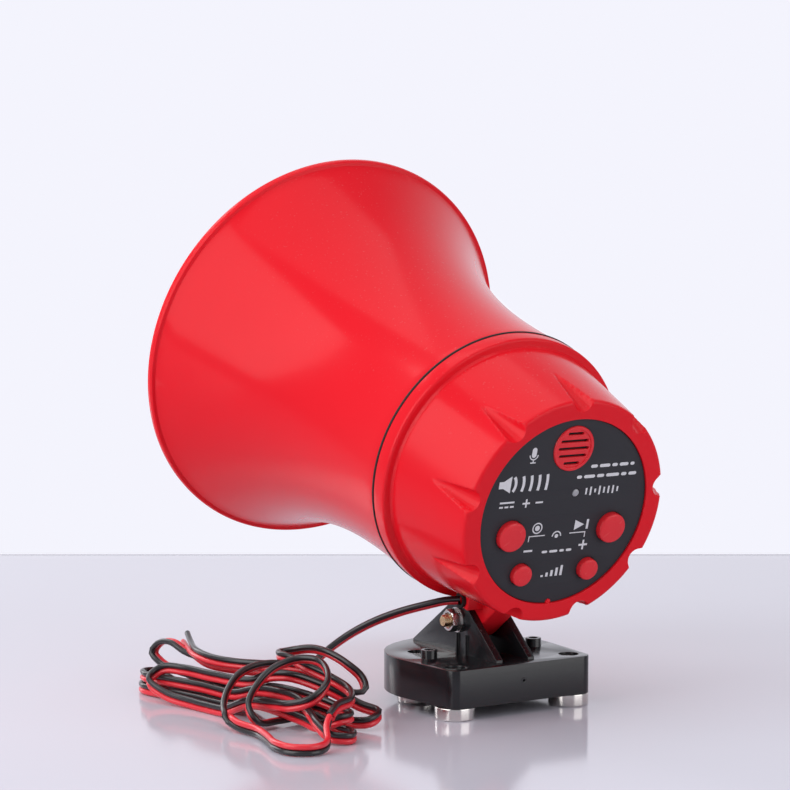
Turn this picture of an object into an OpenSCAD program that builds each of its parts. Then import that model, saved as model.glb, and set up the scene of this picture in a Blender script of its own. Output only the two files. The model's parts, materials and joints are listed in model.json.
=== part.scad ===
// Recordable horn loudspeaker on a tilting base with magnet feet.
// The horn faces -Y, the control panel faces +Y, and the base stands on z = 0.

/* [Horn] */
// Angle of the horn above level
horn_tilt = 16; // [10:1:20]
// Distance from the panel's face to the front of the mouth rim
horn_length = 185; // [175:1:195]
// Outer radius of the mouth rim
mouth_r = 84; // [78:1:90]
// Outer radius of the bell where it meets the casing
neck_r = 54.4; // [54:0.2:55]
// Wall thickness of the bell
bell_wall = 2.2; // [1.8:0.1:3]

/* [Casing] */
// Outer radius of the casing's front band
band_r = 54.8; // [54.4:0.2:55.4]
// Outer radius of the casing's rear edge
rear_r = 45.4; // [45:0.2:46]
// Number of scooped notches round the rear edge
notches = 9; // [6:1:10]
// Length of each notch
notch_length = 22; // [16:1:26]

/* [Control panel] */
// Radius of the control panel
panel_r = 37.8; // [37:0.1:37.8]
// Thickness of the control panel
panel_t = 2; // [1.5:0.1:2]
// Radius of the record and play buttons
large_button_r = 6; // [5:0.1:6.2]
// Radius of the two volume buttons
small_button_r = 4.3; // [3.5:0.1:4.4]
// Radius of the microphone grille
grille_r = 9.2; // [8.8:0.1:9.6]
// How far a button travels
button_travel = 0.5; // [0.3:0.1:0.5]

/* [Base] */
// Radius of the base's round front
base_r = 36; // [34:1:38]
// Height of the base's side wall
base_h = 15; // [14:0.5:18]
// Radius of a foot magnet
magnet_r = 8; // [7:0.5:8]
// Height of a foot magnet
magnet_h = 5; // [4:0.5:6]
// Thickness of each hinge ear
ear_t = 3; // [2.5:0.1:3.5]
// Gap between the two hinge ears
ear_gap = 12; // [12:0.1:13]

/* [Hinge] */
// Radius of the hinge bolt's shank
bolt_r = 2.5; // [2.5:0.1:2.5]
// Height of the hinge bolt above the base's top
hinge_rise = 13.5; // [12:0.5:14]
// Distance from the horn's axis down to the hinge bolt
hinge_drop = 63.5; // [63:0.5:65]
// Distance of the hinge bolt forward of the panel's face
hinge_s = 43; // [42:0.5:44]

/* [Driver] */
// Outer radius of the ring magnet
ring_magnet_r = 30; // [26:1:34]
// Radius of the voice coil's former
coil_r = 10; // [10:0.1:10]

/* [Hidden] */
$fn = 96;
eps = 0.01;

// Base and hinge
base_top = magnet_h + base_h;
hinge_z = base_top + hinge_rise;
back_y = (horn_length - hinge_s) * cos(horn_tilt) + (mouth_r - hinge_drop) * sin(horn_tilt);
front_y = (hinge_s + 0.8) * cos(horn_tilt) + (rear_r - 1.5 + hinge_drop) * sin(horn_tilt);
hinge_y = (back_y - front_y) / 2;
base_y = hinge_y - 2;
corner_r = 5;
corner_at = base_r - 7.5;
base_wall = 2.4;
ear_r = 8.2;
ear_x = ear_gap / 2;
rear_magnet_at = base_r - 9;
front_magnet = [21, -9];
MAGNETS = [
    [rear_magnet_at, rear_magnet_at], [-rear_magnet_at, rear_magnet_at],
    front_magnet, [-front_magnet.x, front_magnet.y]
];
magnet_hole_r = 2;
screw_recess_r = 4;
collar_at = [25, 5.5];
collar_r = 3.2;
collar_h = 3.5;
collar_hole_r = 1.8;

// Stations along the horn's axis, counted forward from the panel's face
casing_front = 49.4;
band_rear = 42.6;
gasket_t = 1.2;
bell_rear = casing_front + gasket_t;
bell_wall_front = bell_rear + 2.8;
flare_s = [bell_wall_front, 100, 140, horn_length - 4];
flare_r = [neck_r, neck_r - 2, neck_r + 3.5, mouth_r - 2.2];
board_s = 11;
board_t = 1.6;
board_r = 37.2;
board_back = board_s + board_t;
post_at = 35;
casing_screw_at = 45;
inner_flange_r = 40;

// Control panel layout: x across, y up, as seen along the horn's axis
RECORD_AT = [23.3, -8];
PLAY_AT = [-23.3, -8];
VOLUME_DOWN_AT = [15.5, -24.6];
VOLUME_UP_AT = [-15.5, -24.6];
BUTTONS = [RECORD_AT, PLAY_AT, VOLUME_DOWN_AT, VOLUME_UP_AT];
GRILLE_AT = [0.6, 26];
LED_AT = [-4.2, 7.4];
KEY_AT = [0, -panel_r + 0.3];
button_gap = 0.2;
slot_pitch = 3;
slot_w = 1.2;
switch_h = 3.4;
switch_w = 6;
led_r = 1.5;

// Driver stations
yoke_s = 25;
plate_t = 4;
magnet_front = 37;
top_plate_front = magnet_front + plate_t;
pole_r = 9.2;
gap_r = 10.7;
coil_wall = 0.4;
coil_front = 44.6;
throat_r = 7;
driver_screw_at = 21;

// Horn's inner path
tube_front = 112;
tube_front_r = 13;
tube_wall = 1.8;
cup_rear = 72;
cup_front = 128;
cup_rear_r = 29;
cup_front_r = 25;
cup_wall = 2;

// Power lead
lead_d = 4.6;
grommet_at = [13, -52, 37];
port_wall = 2.8;
port_length = 9;
LEAD_ROUTE = [
    [15, 44, 43], [20, 43, 43], [27, 38, 41], [34, 31, 38], [41, 24, 34],
    [48, 18, 29], [55, 15, 24], [62, 14, 19], [70, 14, 15]
];
hank_length = 132;
hank_width = 46;
hank_height = 22;
hank_at = [90, 8];
hank_turn = 100;

// ---------- shared shapes ----------

function bezier(p, t) =
    p[0] * pow(1 - t, 3) + 3 * p[1] * t * pow(1 - t, 2) + 3 * p[2] * t * t * (1 - t) + p[3] * pow(t, 3);

// Outer surface of the flare as [radius, station], moved in by the given amount
function flare(inset) = [
    for (i = [0:24]) let (t = i / 24) [bezier(flare_r, t) - inset, bezier(flare_s, t)]
];

function reversed(list) = [for (i = [len(list) - 1:-1:0]) list[i]];

function arc(centre, r, from, to, steps = 6) = [
    for (i = [0:steps]) let (a = from + (to - from) * i / steps) centre + r * [cos(a), sin(a)]
];

// Puts children given in the horn's own axes (z along the horn, y up) in place
module on_horn() {
    translate([0, hinge_y, hinge_z])
        rotate([90 - horn_tilt, 0, 0])
            translate([0, hinge_drop, -hinge_s])
                children();
}

module ring(r_out, r_in, from, to) {
    translate([0, 0, from])
        difference() {
            cylinder(h = to - from, r = r_out);
            translate([0, 0, -1])
                cylinder(h = to - from + 2, r = r_in);
        }
}

module disc(r, from, to, at = [0, 0]) {
    translate([at.x, at.y, from])
        cylinder(h = to - from, r = r);
}

module around(count, at, first = 0) {
    for (i = [0:count - 1])
        rotate([0, 0, first + i * 360 / count])
            translate([at, 0, 0])
                children();
}

module along_x(centre, r, length) {
    translate([-length / 2, centre.x, centre.y])
        rotate([0, 90, 0])
            cylinder(h = length, r = r);
}

// Pan head screw pointing along +z, its head below the origin
module pan_screw(shank_r, length, head_r, head_h) {
    difference() {
        union() {
            cylinder(h = length, r = shank_r, $fn = 24);
            translate([0, 0, -head_h])
                rotate_extrude($fn = 32)
                    polygon(concat([[0, 0]], arc([head_r - head_h, head_h], head_h, -90, 0, 4), [[0, head_h]]));
        }
        for (a = [0, 90])
            rotate([0, 0, a])
                translate([-head_r * 0.6, -0.35, -head_h - 0.2])
                    cube([head_r * 1.2, 0.7, head_h * 0.6]);
    }
}

// ---------- base ----------

module base_outline(inset) {
    hull() {
        intersection() {
            circle(r = base_r - inset);
            translate([-base_r, -base_r])
                square([2 * base_r, base_r + corner_at + 1.5 + corner_r - inset]);
        }
        for (side = [-1, 1])
            translate([side * corner_at, corner_at + 1.5])
                circle(r = corner_r - min(inset, corner_r - 1), $fn = 32);
    }
}

module ear_outline() {
    hull() {
        translate([0, hinge_rise])
            circle(r = ear_r, $fn = 48);
        translate([-33, -1])
            square([60, 2]);
    }
}

module hinge_ear() {
    rotate([90, 0, 90])
        linear_extrude(ear_t)
            ear_outline();
    for (rib = [-0.5, 6])
        translate([ear_t - eps, rib, 0])
            cube([1, 1, hinge_rise - 5.5]);
}

module base_housing() {
    color("#1b1b1f")
        difference() {
            union() {
                translate([0, base_y, magnet_h])
                    difference() {
                        linear_extrude(base_h)
                            base_outline(0);
                        translate([0, 0, -1])
                            linear_extrude(base_h - base_wall + 1)
                                base_outline(base_wall);
                    }
                for (at = MAGNETS)
                    translate([at.x, base_y + at.y, magnet_h])
                        cylinder(h = base_h, r = magnet_r - 1.5);
                for (side = [-1, 1])
                    translate([side * collar_at.x, base_y + collar_at.y, magnet_h + 4])
                        cylinder(h = base_h - 4 + collar_h, r = collar_r);
                translate([ear_x, hinge_y, base_top])
                    hinge_ear();
                mirror([1, 0, 0])
                    translate([ear_x, hinge_y, base_top])
                        hinge_ear();
            }
            for (at = MAGNETS)
                translate([at.x, base_y + at.y, 0])
                    cylinder(h = 40, r = magnet_hole_r + 0.1);
            for (at = MAGNETS)
                translate([at.x, base_y + at.y, base_top - 3])
                    cylinder(h = 10, r = screw_recess_r);
            for (side = [-1, 1])
                translate([side * collar_at.x, base_y + collar_at.y, 0])
                    cylinder(h = 40, r = collar_hole_r);
            along_x([hinge_y, hinge_z], bolt_r, 60);
        }
}

module foot_magnets() {
    color("#c9c7c2")
        for (at = MAGNETS)
            translate([at.x, base_y + at.y, 0])
                difference() {
                    rotate_extrude()
                        polygon([
                            [0, 0], [magnet_r - 0.5, 0], [magnet_r, 0.5],
                            [magnet_r, magnet_h - 0.4], [magnet_r - 0.4, magnet_h], [0, magnet_h]
                        ]);
                    translate([0, 0, 1.5])
                        cylinder(h = 10, r = magnet_hole_r);
                }
}

module magnet_screws() {
    color("#55565a")
        for (at = MAGNETS)
            translate([at.x, base_y + at.y, base_top - 3])
                mirror([0, 0, 1])
                    pan_screw(magnet_hole_r, base_h - 3 + magnet_h - 2, 3.6, 2.2);
}

// ---------- hinge ----------

nut_w = 8;
nut_t = 4;
washer_t = 1;
ear_outer = ear_x + ear_t;
bolt_end = ear_outer + washer_t + nut_t + 2.4;

module hex(width, from, to) {
    translate([from, hinge_y, hinge_z])
        rotate([0, 90, 0])
            rotate([0, 0, 12])
                cylinder(h = to - from, r = width / sqrt(3), $fn = 6);
}

module hinge_bolt() {
    color("#c2b280") {
        hex(nut_w, -ear_outer - washer_t - 3.5, -ear_outer - washer_t);
        translate([-ear_outer - washer_t - eps, hinge_y, hinge_z])
            rotate([0, 90, 0])
                cylinder(h = ear_outer + washer_t + bolt_end, r = bolt_r);
    }
}

module hinge_nut() {
    color("#cfcfca")
        difference() {
            hex(nut_w, ear_outer + washer_t, ear_outer + washer_t + nut_t);
            along_x([hinge_y, hinge_z], bolt_r, 60);
        }
}

module hinge_washers() {
    color("#cfcfca")
        for (from = [ear_outer, -ear_outer - washer_t])
            difference() {
                translate([from, hinge_y, hinge_z])
                    rotate([0, 90, 0])
                        cylinder(h = washer_t, r = 5);
                along_x([hinge_y, hinge_z], bolt_r, 60);
            }
}

module hinge_sleeve() {
    color("#b9b9b4")
        on_horn()
            difference() {
                along_x([-hinge_drop, hinge_s], bolt_r + 1, ear_gap - 0.4);
                along_x([-hinge_drop, hinge_s], bolt_r + 0.06, ear_gap + 2);
            }
}

// ---------- casing ----------

module notch_cutters() {
    around(notches, 0, 90)
        translate([rear_r, 0, -1.2])
            rotate([0, 9, 0])
                cylinder(h = notch_length, r1 = 4.6, r2 = 0.5, $fn = 40);
}

module casing_shell() {
    rotate_extrude()
        polygon(concat(
            [[panel_r + 0.2, -0.8]],
            arc([rear_r - 2, 1.2], 2, -90, 0),
            [[51.3, band_rear - 1.6], [51.8, band_rear - 0.6], [band_r - 1.3, band_rear - 0.4]],
            arc([band_r - 1.4, band_rear + 1.2], 1.4, -60, 0),
            [[band_r, casing_front], [inner_flange_r, casing_front], [inner_flange_r, casing_front - 2.6]],
            [[50, casing_front - 2.6], [48.4, band_rear - 2], [44, 24], [38.8, 4.4]],
            [[35.5, 4.4], [35.5, panel_t + 0.1], [panel_r + 0.2, panel_t + 0.1]]
        ));
}

module lug() {
    rotate([0, -90, 0])
        translate([0, 0, -ear_x + 0.2])
            linear_extrude(ear_gap - 0.4)
                hull() {
                    translate([hinge_s, -hinge_drop])
                        circle(r = 7.6, $fn = 48);
                    translate([20, -46.5])
                        square([24, 2]);
                    translate([42, -52.5])
                        square([3, 2]);
                }
}

module lead_port() {
    translate([0, grommet_at.y - port_wall, grommet_at.z - port_length / 2])
        cube([grommet_at.x, 7, port_length]);
}

module rear_casing() {
    color("#d81f2a")
        on_horn()
            difference() {
                union() {
                    casing_shell();
                    lug();
                    lead_port();
                    around(3, post_at + 1.3, 30)
                        disc(3, 4, board_s);
                    disc(1.2, -0.3, panel_t + 0.2, KEY_AT);
                }
                notch_cutters();
                along_x([-hinge_drop, hinge_s], bolt_r + 1, 60);
                around(4, casing_screw_at, 45)
                    disc(1.7, casing_front - 5, casing_front + 1);
                around(3, post_at, 30)
                    disc(1.1, 5, board_s + 1);
                translate([grommet_at.x - 12, grommet_at.y, grommet_at.z])
                    rotate([0, 90, 0])
                        cylinder(h = 20, r = 2.4);
            }
}

module lead_grommet() {
    color("#161616")
        on_horn()
            translate(grommet_at)
                rotate([0, 90, 0])
                    difference() {
                        union() {
                            translate([0, 0, -3])
                                cylinder(h = 3, r = 2.4);
                            cylinder(h = 1.4, r = 2.9);
                        }
                        translate([0, 0, -4])
                            cylinder(h = 8, r = 1.9);
                    }
}

module casing_screws() {
    color("#8f9094")
        on_horn()
            around(4, casing_screw_at, 45)
                translate([0, 0, casing_front - 2.6])
                    pan_screw(1.6, 13, 3.2, 2);
}

// ---------- bell and horn path ----------

module bell() {
    inner = flare(bell_wall);
    color("#d81f2a")
        on_horn()
            difference() {
                union() {
                    rotate_extrude()
                        polygon(concat(
                            [[throat_r + 2, bell_rear], [neck_r, bell_rear]],
                            flare(0),
                            [[mouth_r - 0.6, horn_length - 4], [mouth_r, horn_length - 3.4]],
                            [[mouth_r, horn_length - 0.8], [mouth_r - 0.8, horn_length]],
                            [[mouth_r - 3.4, horn_length]],
                            reversed(inner),
                            [[throat_r + 2, bell_wall_front]]
                        ));
                    around(4, casing_screw_at, 45)
                        disc(3.4, bell_rear + 0.5, bell_rear + 11);
                }
                around(4, casing_screw_at, 45)
                    disc(1.5, bell_rear - 1, bell_rear + 10);
                around(3, driver_screw_at, 90)
                    disc(1.7, bell_rear - 1, bell_rear + 5);
            }
}

module bell_gasket() {
    color("#141414")
        on_horn()
            difference() {
                ring(band_r + 0.3, inner_flange_r + 0.5, casing_front, bell_rear);
                around(4, casing_screw_at, 45)
                    disc(1.7, casing_front - 1, bell_rear + 1);
            }
}

module throat_tube() {
    color("#2b2b2e")
        on_horn()
            difference() {
                union() {
                    disc(throat_r + tube_wall, bell_rear, bell_wall_front + 0.2);
                    disc(25, bell_wall_front, bell_wall_front + 2.4);
                    translate([0, 0, bell_wall_front])
                        cylinder(h = tube_front - bell_wall_front, r1 = throat_r + tube_wall,
                                 r2 = tube_front_r + tube_wall);
                }
                translate([0, 0, bell_rear - 1])
                    cylinder(h = bell_wall_front - bell_rear + 1 + eps, r = throat_r);
                translate([0, 0, bell_wall_front])
                    cylinder(h = tube_front - bell_wall_front + eps, r1 = throat_r, r2 = tube_front_r);
                around(3, driver_screw_at, 90)
                    disc(1.5, bell_rear - 1, bell_rear + 10);
            }
}

module cup_shell() {
    rotate_extrude()
        polygon(concat(
            [[cup_rear_r, cup_rear], [cup_front_r, cup_front - 8]],
            [for (i = [1:8]) let (a = i * 90 / 8) [cup_front_r * cos(a), cup_front - 8 + 13 * sin(a)]],
            [for (i = [8:-1:0]) let (a = i * 90 / 8)
                [(cup_front_r - cup_wall) * cos(a), cup_front - 8 + 11 * sin(a)]],
            [[cup_rear_r - cup_wall, cup_rear]]
        ));
}

module reflector_cup() {
    color("#c41d27")
        on_horn()
            difference() {
                union() {
                    cup_shell();
                    around(3, 0, 30)
                        translate([12.4, -1, 78])
                            cube([14, 2, 30]);
                }
                translate([0, 0, bell_wall_front])
                    cylinder(h = tube_front - bell_wall_front + eps, r1 = throat_r + tube_wall,
                             r2 = tube_front_r + tube_wall);
            }
}

// ---------- control panel ----------

module control_panel() {
    color("#3a3b40")
        on_horn()
            difference() {
                disc(panel_r, 0, panel_t);
                for (at = [RECORD_AT, PLAY_AT])
                    disc(large_button_r + button_gap, -1, panel_t + 1, at);
                for (at = [VOLUME_UP_AT, VOLUME_DOWN_AT])
                    disc(small_button_r + button_gap, -1, panel_t + 1, at);
                disc(grille_r, -1, panel_t + 1, GRILLE_AT);
                disc(led_r + 0.2, -1, panel_t + 1, LED_AT);
                disc(1.2, -1, panel_t + 1, KEY_AT);
            }
}

module mic_grille() {
    color("#d81f2a")
        on_horn()
            translate([GRILLE_AT.x, GRILLE_AT.y, 0])
                difference() {
                    rotate_extrude()
                        polygon([
                            [0, -0.2], [grille_r - 2, -0.2], [grille_r - 1.4, -0.7], [grille_r - 0.5, -0.7],
                            [grille_r, -0.3], [grille_r, panel_t], [0, panel_t]
                        ]);
                    for (i = [-2:2]) let (slot = 2 * sqrt(pow(grille_r - 2.4, 2) - pow(slot_pitch * i, 2)))
                        translate([-slot / 2, slot_pitch * i - slot_w / 2, -1])
                            cube([slot, slot_w, panel_t + 2]);
                }
}

module indicator_lens() {
    color("#b9bcc4")
        on_horn()
            translate([LED_AT.x, LED_AT.y, 0])
                rotate_extrude($fn = 32)
                    polygon([[0, -0.4], [0.9, -0.25], [led_r, 0.2], [led_r, panel_t - 0.8], [0, panel_t - 0.8]]);
}

module button(at, r) {
    color("#d81f2a")
        on_horn()
            translate([at.x, at.y, 0]) {
                rotate_extrude()
                    polygon(concat(
                        [[0, -2.8]],
                        arc([r - 1, -1.5], 1, -80, 0, 5),
                        [[r, panel_t + 0.1], [r + 0.8, panel_t + 0.1], [r + 0.8, panel_t + 1.1], [0, panel_t + 1.1]]
                    ));
                cylinder(h = board_s - switch_h - button_travel - 0.1, r = 1.6);
            }
}

module record_button() button(RECORD_AT, large_button_r);

module play_button() button(PLAY_AT, large_button_r);

module volume_up_button() button(VOLUME_UP_AT, small_button_r);

module volume_down_button() button(VOLUME_DOWN_AT, small_button_r);

// ---------- electronics ----------

module control_board() {
    color("#1f6b3a")
        on_horn()
            difference() {
                disc(board_r, board_s, board_back);
                around(3, post_at, 30)
                    disc(1.4, board_s - 1, board_back + 1);
            }
}

module board_screws() {
    color("#8f9094")
        on_horn()
            around(3, post_at, 30)
                translate([0, 0, board_back])
                    mirror([0, 0, 1])
                        pan_screw(1.1, 6.5, 2.2, 1.4);
}

module tact_switches() {
    color("#26262a")
        on_horn()
            for (at = BUTTONS)
                translate([at.x, at.y, board_s - switch_h])
                    translate([-switch_w / 2, -switch_w / 2, 0])
                        cube([switch_w, switch_w, switch_h]);
}

module mic_capsule() {
    color("#a8a9ad")
        on_horn()
            disc(4.85, 4, 10.2, GRILLE_AT);
}

module mic_sleeve() {
    color("#202022")
        on_horn()
            translate([GRILLE_AT.x, GRILLE_AT.y, 0])
                ring(6.4, 4.85, panel_t, board_s);
}

module indicator_led() {
    color("#d9dadd")
        on_horn()
            translate([LED_AT.x, LED_AT.y, 0]) {
                disc(led_r, panel_t - 0.6, 6);
                disc(led_r + 0.4, 5, 6);
                for (side = [-1, 1])
                    translate([side * 0.9, 0, 6 - eps])
                        cylinder(h = board_s - 6 + eps, r = 0.3, $fn = 16);
            }
}

module amplifier_chip() {
    color("#202022")
        on_horn()
            translate([-7, -26, board_back])
                cube([14, 4.4, 9]);
}

module heat_sink() {
    color("#9a9ca1")
        on_horn()
            translate([-11, -21.6, board_back]) {
                cube([22, 2, 10]);
                for (i = [0:4])
                    translate([i * 5, 1, 0])
                        cube([2, 6, 10]);
            }
}

module capacitors() {
    color("#20263a")
        on_horn()
            for (at = [[17, 14], [26, 6], [-20, 16]])
                disc(4, board_back, board_back + 9.6, at);
}

module inductor() {
    color("#8a5a2b")
        on_horn()
            translate([-24, -2, board_back])
                ring(6, 2.6, 0, 5);
}

module terminal_block() {
    color("#2f7d4f")
        on_horn()
            difference() {
                translate([17, -25, board_back])
                    cube([10, 8, 8]);
                for (x = [19.5, 24.5])
                    disc(1.5, board_back + 5, board_back + 9, [x, -21]);
            }
}

// ---------- compression driver ----------

module driver_yoke() {
    color("#6d6f73")
        on_horn()
            difference() {
                union() {
                    disc(26, yoke_s, yoke_s + plate_t);
                    disc(pole_r, yoke_s, top_plate_front);
                }
                disc(2, yoke_s - 1, top_plate_front + 1);
            }
}

module driver_magnet() {
    color("#2c2c2e")
        on_horn()
            ring(ring_magnet_r, 15, yoke_s + plate_t, magnet_front);
}

module driver_top_plate() {
    color("#6d6f73")
        on_horn()
            difference() {
                ring(27, gap_r, magnet_front, top_plate_front);
                around(3, driver_screw_at, 90)
                    disc(1.5, magnet_front - 1, top_plate_front + 1);
            }
}

module driver_housing() {
    color("#3d3e42")
        on_horn()
            difference() {
                disc(27, top_plate_front, bell_rear);
                disc(15.5, top_plate_front - 1, coil_front - 0.1);
                disc(15, coil_front - 0.2, bell_rear - 2.4);
                disc(throat_r, bell_rear - 3, bell_rear + 1);
                around(3, driver_screw_at, 90)
                    disc(1.7, top_plate_front - 1, bell_rear + 1);
            }
}

module driver_screws() {
    color("#8f9094")
        on_horn()
            around(3, driver_screw_at, 90)
                translate([0, 0, magnet_front])
                    disc(1.5, 0.2, bell_wall_front + 2.4 - magnet_front);
}

module voice_coil() {
    color("#b87333")
        on_horn()
            ring(coil_r + coil_wall / 2, coil_r - coil_wall / 2, yoke_s + 9, coil_front);
}

module diaphragm() {
    dome_r = coil_r + coil_wall / 2;
    color("#cfc9b8")
        on_horn()
            translate([0, 0, coil_front])
                rotate_extrude()
                    polygon(concat(
                        [for (i = [0:8]) let (a = i * 90 / 8) [dome_r * cos(a), 0.4 + 1.7 * sin(a)]],
                        [for (i = [8:-1:0]) let (a = i * 90 / 8) [(dome_r - 0.4) * cos(a), 0.4 + 1.3 * sin(a)]],
                        [[dome_r - 0.4, 0], [dome_r, 0]]
                    ));
}

module surround() {
    inner_r = coil_r + coil_wall / 2;
    mid_r = (inner_r + 15) / 2;
    roll = mid_r - inner_r;
    color("#47433c")
        on_horn()
            translate([0, 0, coil_front])
                rotate_extrude()
                    polygon(concat(
                        arc([mid_r, 0], roll, 180, 0, 10),
                        arc([mid_r, 0], roll - 0.35, 0, 180, 10)
                    ));
}

module phase_plug() {
    color("#3d3e42")
        on_horn()
            union() {
                translate([0, 0, bell_rear - 1.9])
                    cylinder(h = 9, r1 = 4.6, r2 = 0.6);
                around(3, 0, 0)
                    translate([0, -0.5, bell_rear - 1.9])
                        cube([throat_r, 1, 1.9]);
            }
}

// ---------- power lead ----------

function catmull(a, b, c, d, t) =
    0.5 * (2 * b + (c - a) * t + (2 * a - 5 * b + 4 * c - d) * t * t + (3 * b - a - 3 * c + d) * t * t * t);

function smooth_route(p, steps) = let (last = len(p) - 1) [
    for (i = [0:last - 1]) for (k = [0:steps - 1])
        catmull(p[max(i - 1, 0)], p[i], p[i + 1], p[min(i + 2, last)], k / steps),
    p[last]
];

function unit(v) = v / norm(v);

// One ring of points round the route at point i
function route_ring(route, i, r, sides) = let (
    ahead = unit(route[min(i + 1, len(route) - 1)] - route[max(i - 1, 0)]),
    side = unit(cross(ahead, [0, 0, 1])),
    up = cross(side, ahead)
) [for (k = [0:sides - 1]) let (a = 360 * k / sides) route[i] + r * (cos(a) * side + sin(a) * up)];

module tube_along(route, r, sides) {
    last = len(route) - 1;
    points = [for (i = [0:last]) each route_ring(route, i, r, sides)];
    walls = [
        for (i = [0:last - 1]) for (k = [0:sides - 1]) let (n = (k + 1) % sides)
            [i * sides + k, i * sides + n, (i + 1) * sides + n, (i + 1) * sides + k]
    ];
    ends = [[for (k = [sides - 1:-1:0]) k], [for (k = [0:sides - 1]) last * sides + k]];
    polyhedron(points, concat(walls, ends));
}

module power_lead() {
    color("#1d1a1a")
        tube_along(smooth_route(LEAD_ROUTE, 1), lead_d / 2, 10);
}

module lead_hank() {
    color("#5a1015")
        translate([hank_at.x, hank_at.y, 0])
            rotate([0, 0, hank_turn])
                linear_extrude(hank_height)
                    hull()
                        for (side = [-1, 1])
                            translate([side * (hank_length - hank_width) / 2, 0])
                                circle(d = hank_width, $fn = 32);
}

base_housing();
foot_magnets();
magnet_screws();
hinge_bolt();
hinge_nut();
hinge_washers();
rear_casing();
bell();
bell_gasket();
control_panel();
mic_grille();
indicator_lens();
record_button();
play_button();
volume_up_button();
volume_down_button();
control_board();
board_screws();
tact_switches();
mic_capsule();
mic_sleeve();
indicator_led();
amplifier_chip();
heat_sink();
capacitors();
inductor();
terminal_block();
hinge_sleeve();
casing_screws();
lead_grommet();
driver_yoke();
driver_magnet();
driver_top_plate();
driver_housing();
driver_screws();
voice_coil();
diaphragm();
surround();
phase_plug();
throat_tube();
reflector_cup();
power_lead();
lead_hank();
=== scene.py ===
"""Looks of a red horn loudspeaker with a record-and-play panel, tilting on a black magnet base.

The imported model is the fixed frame. Sub-assemblies draw their own meshes in millimetres, in their own
axes, and every mesh is stored in metres. The horn's axes are x across, y up and z forward along the
horn, counted from the panel's face.
"""

import json
import logging
import math
from dataclasses import dataclass, field, replace
from enum import Enum
from typing import Callable, Iterable, Sequence

import bmesh
import bpy
import numpy as np
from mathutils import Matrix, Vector, geometry


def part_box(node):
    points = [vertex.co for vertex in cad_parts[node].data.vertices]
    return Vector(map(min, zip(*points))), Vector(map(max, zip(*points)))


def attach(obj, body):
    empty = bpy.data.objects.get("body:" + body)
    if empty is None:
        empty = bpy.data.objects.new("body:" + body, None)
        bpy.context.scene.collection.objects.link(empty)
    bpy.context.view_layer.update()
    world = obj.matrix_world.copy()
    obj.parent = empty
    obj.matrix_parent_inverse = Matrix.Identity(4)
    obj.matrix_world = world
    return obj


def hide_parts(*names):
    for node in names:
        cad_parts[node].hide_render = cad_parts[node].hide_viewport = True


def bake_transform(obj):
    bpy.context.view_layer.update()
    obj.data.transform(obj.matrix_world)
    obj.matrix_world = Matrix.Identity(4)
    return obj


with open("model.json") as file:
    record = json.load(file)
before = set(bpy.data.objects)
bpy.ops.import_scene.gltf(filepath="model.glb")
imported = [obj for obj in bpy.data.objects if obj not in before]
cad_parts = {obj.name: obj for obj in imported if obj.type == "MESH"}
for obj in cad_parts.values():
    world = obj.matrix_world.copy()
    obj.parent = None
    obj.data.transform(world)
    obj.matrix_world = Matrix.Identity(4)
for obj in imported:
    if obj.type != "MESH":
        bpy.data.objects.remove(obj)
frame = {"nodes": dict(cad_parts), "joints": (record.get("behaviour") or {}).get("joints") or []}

MM = 0.001
WORLD_UP = Vector((0.0, 0.0, 1.0))

Point2 = tuple[float, float]
Corner = tuple[float, float, float]
Socket = bpy.types.NodeSocket
Sockets = bpy.types.bpy_prop_collection
Shape = Callable[[float, float, float], Point2]

log = logging.getLogger("loudspeaker")


# ---------------------------------------------------------------- axes and meshes


@dataclass(frozen=True)
class Axes:
    """Axes that a sub-assembly is drawn in, with their origin in metres."""

    origin: Vector
    x: Vector
    y: Vector
    z: Vector

    def at(self, x: float, y: float, z: float) -> Vector:
        """Returns the place in metres of a point given in millimetres."""
        return self.origin + (self.x * x + self.y * y + self.z * z) * MM

    def moved(self, x: float, y: float, z: float) -> "Axes":
        """Returns the same axes with their origin moved by millimetres."""
        return Axes(self.at(x, y, z), self.x, self.y, self.z)


def centre_of(node: str) -> Vector:
    """Returns the middle of a node's box, in metres."""
    low, high = (Vector(corner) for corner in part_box(node))
    return (low + high) / 2


def joint_axis(name: str) -> Vector:
    """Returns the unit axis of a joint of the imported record."""
    joints = {joint["name"]: joint for joint in frame["joints"]}
    return Vector(joints[name]["axis"]).normalized()


def horn_axes() -> Axes:
    """Finds the horn's axes from the record button's travel and the control panel's place.

    Returns:
        Axes with x across, y up and z forward from the panel's face.
    """
    forward = joint_axis("record_press")
    across = Vector((1.0, 0.0, 0.0))
    half_panel = 1.0 * MM
    face = centre_of("control_panel") - forward * half_panel
    return Axes(face, across, forward.cross(across), forward)


def hinge_axes() -> Axes:
    """Returns axes at the hinge bolt's middle, with z along the bolt towards the nut."""
    return Axes(centre_of("hinge_washers"), Vector((0, 1, 0)), WORLD_UP, Vector((1, 0, 0)))


def upright_axes(x: float, y: float, z: float) -> Axes:
    """Returns axes parallel to the model's own, at a place in metres."""
    return Axes(Vector((x, y, z)), Vector((1, 0, 0)), Vector((0, 1, 0)), WORLD_UP)


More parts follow.
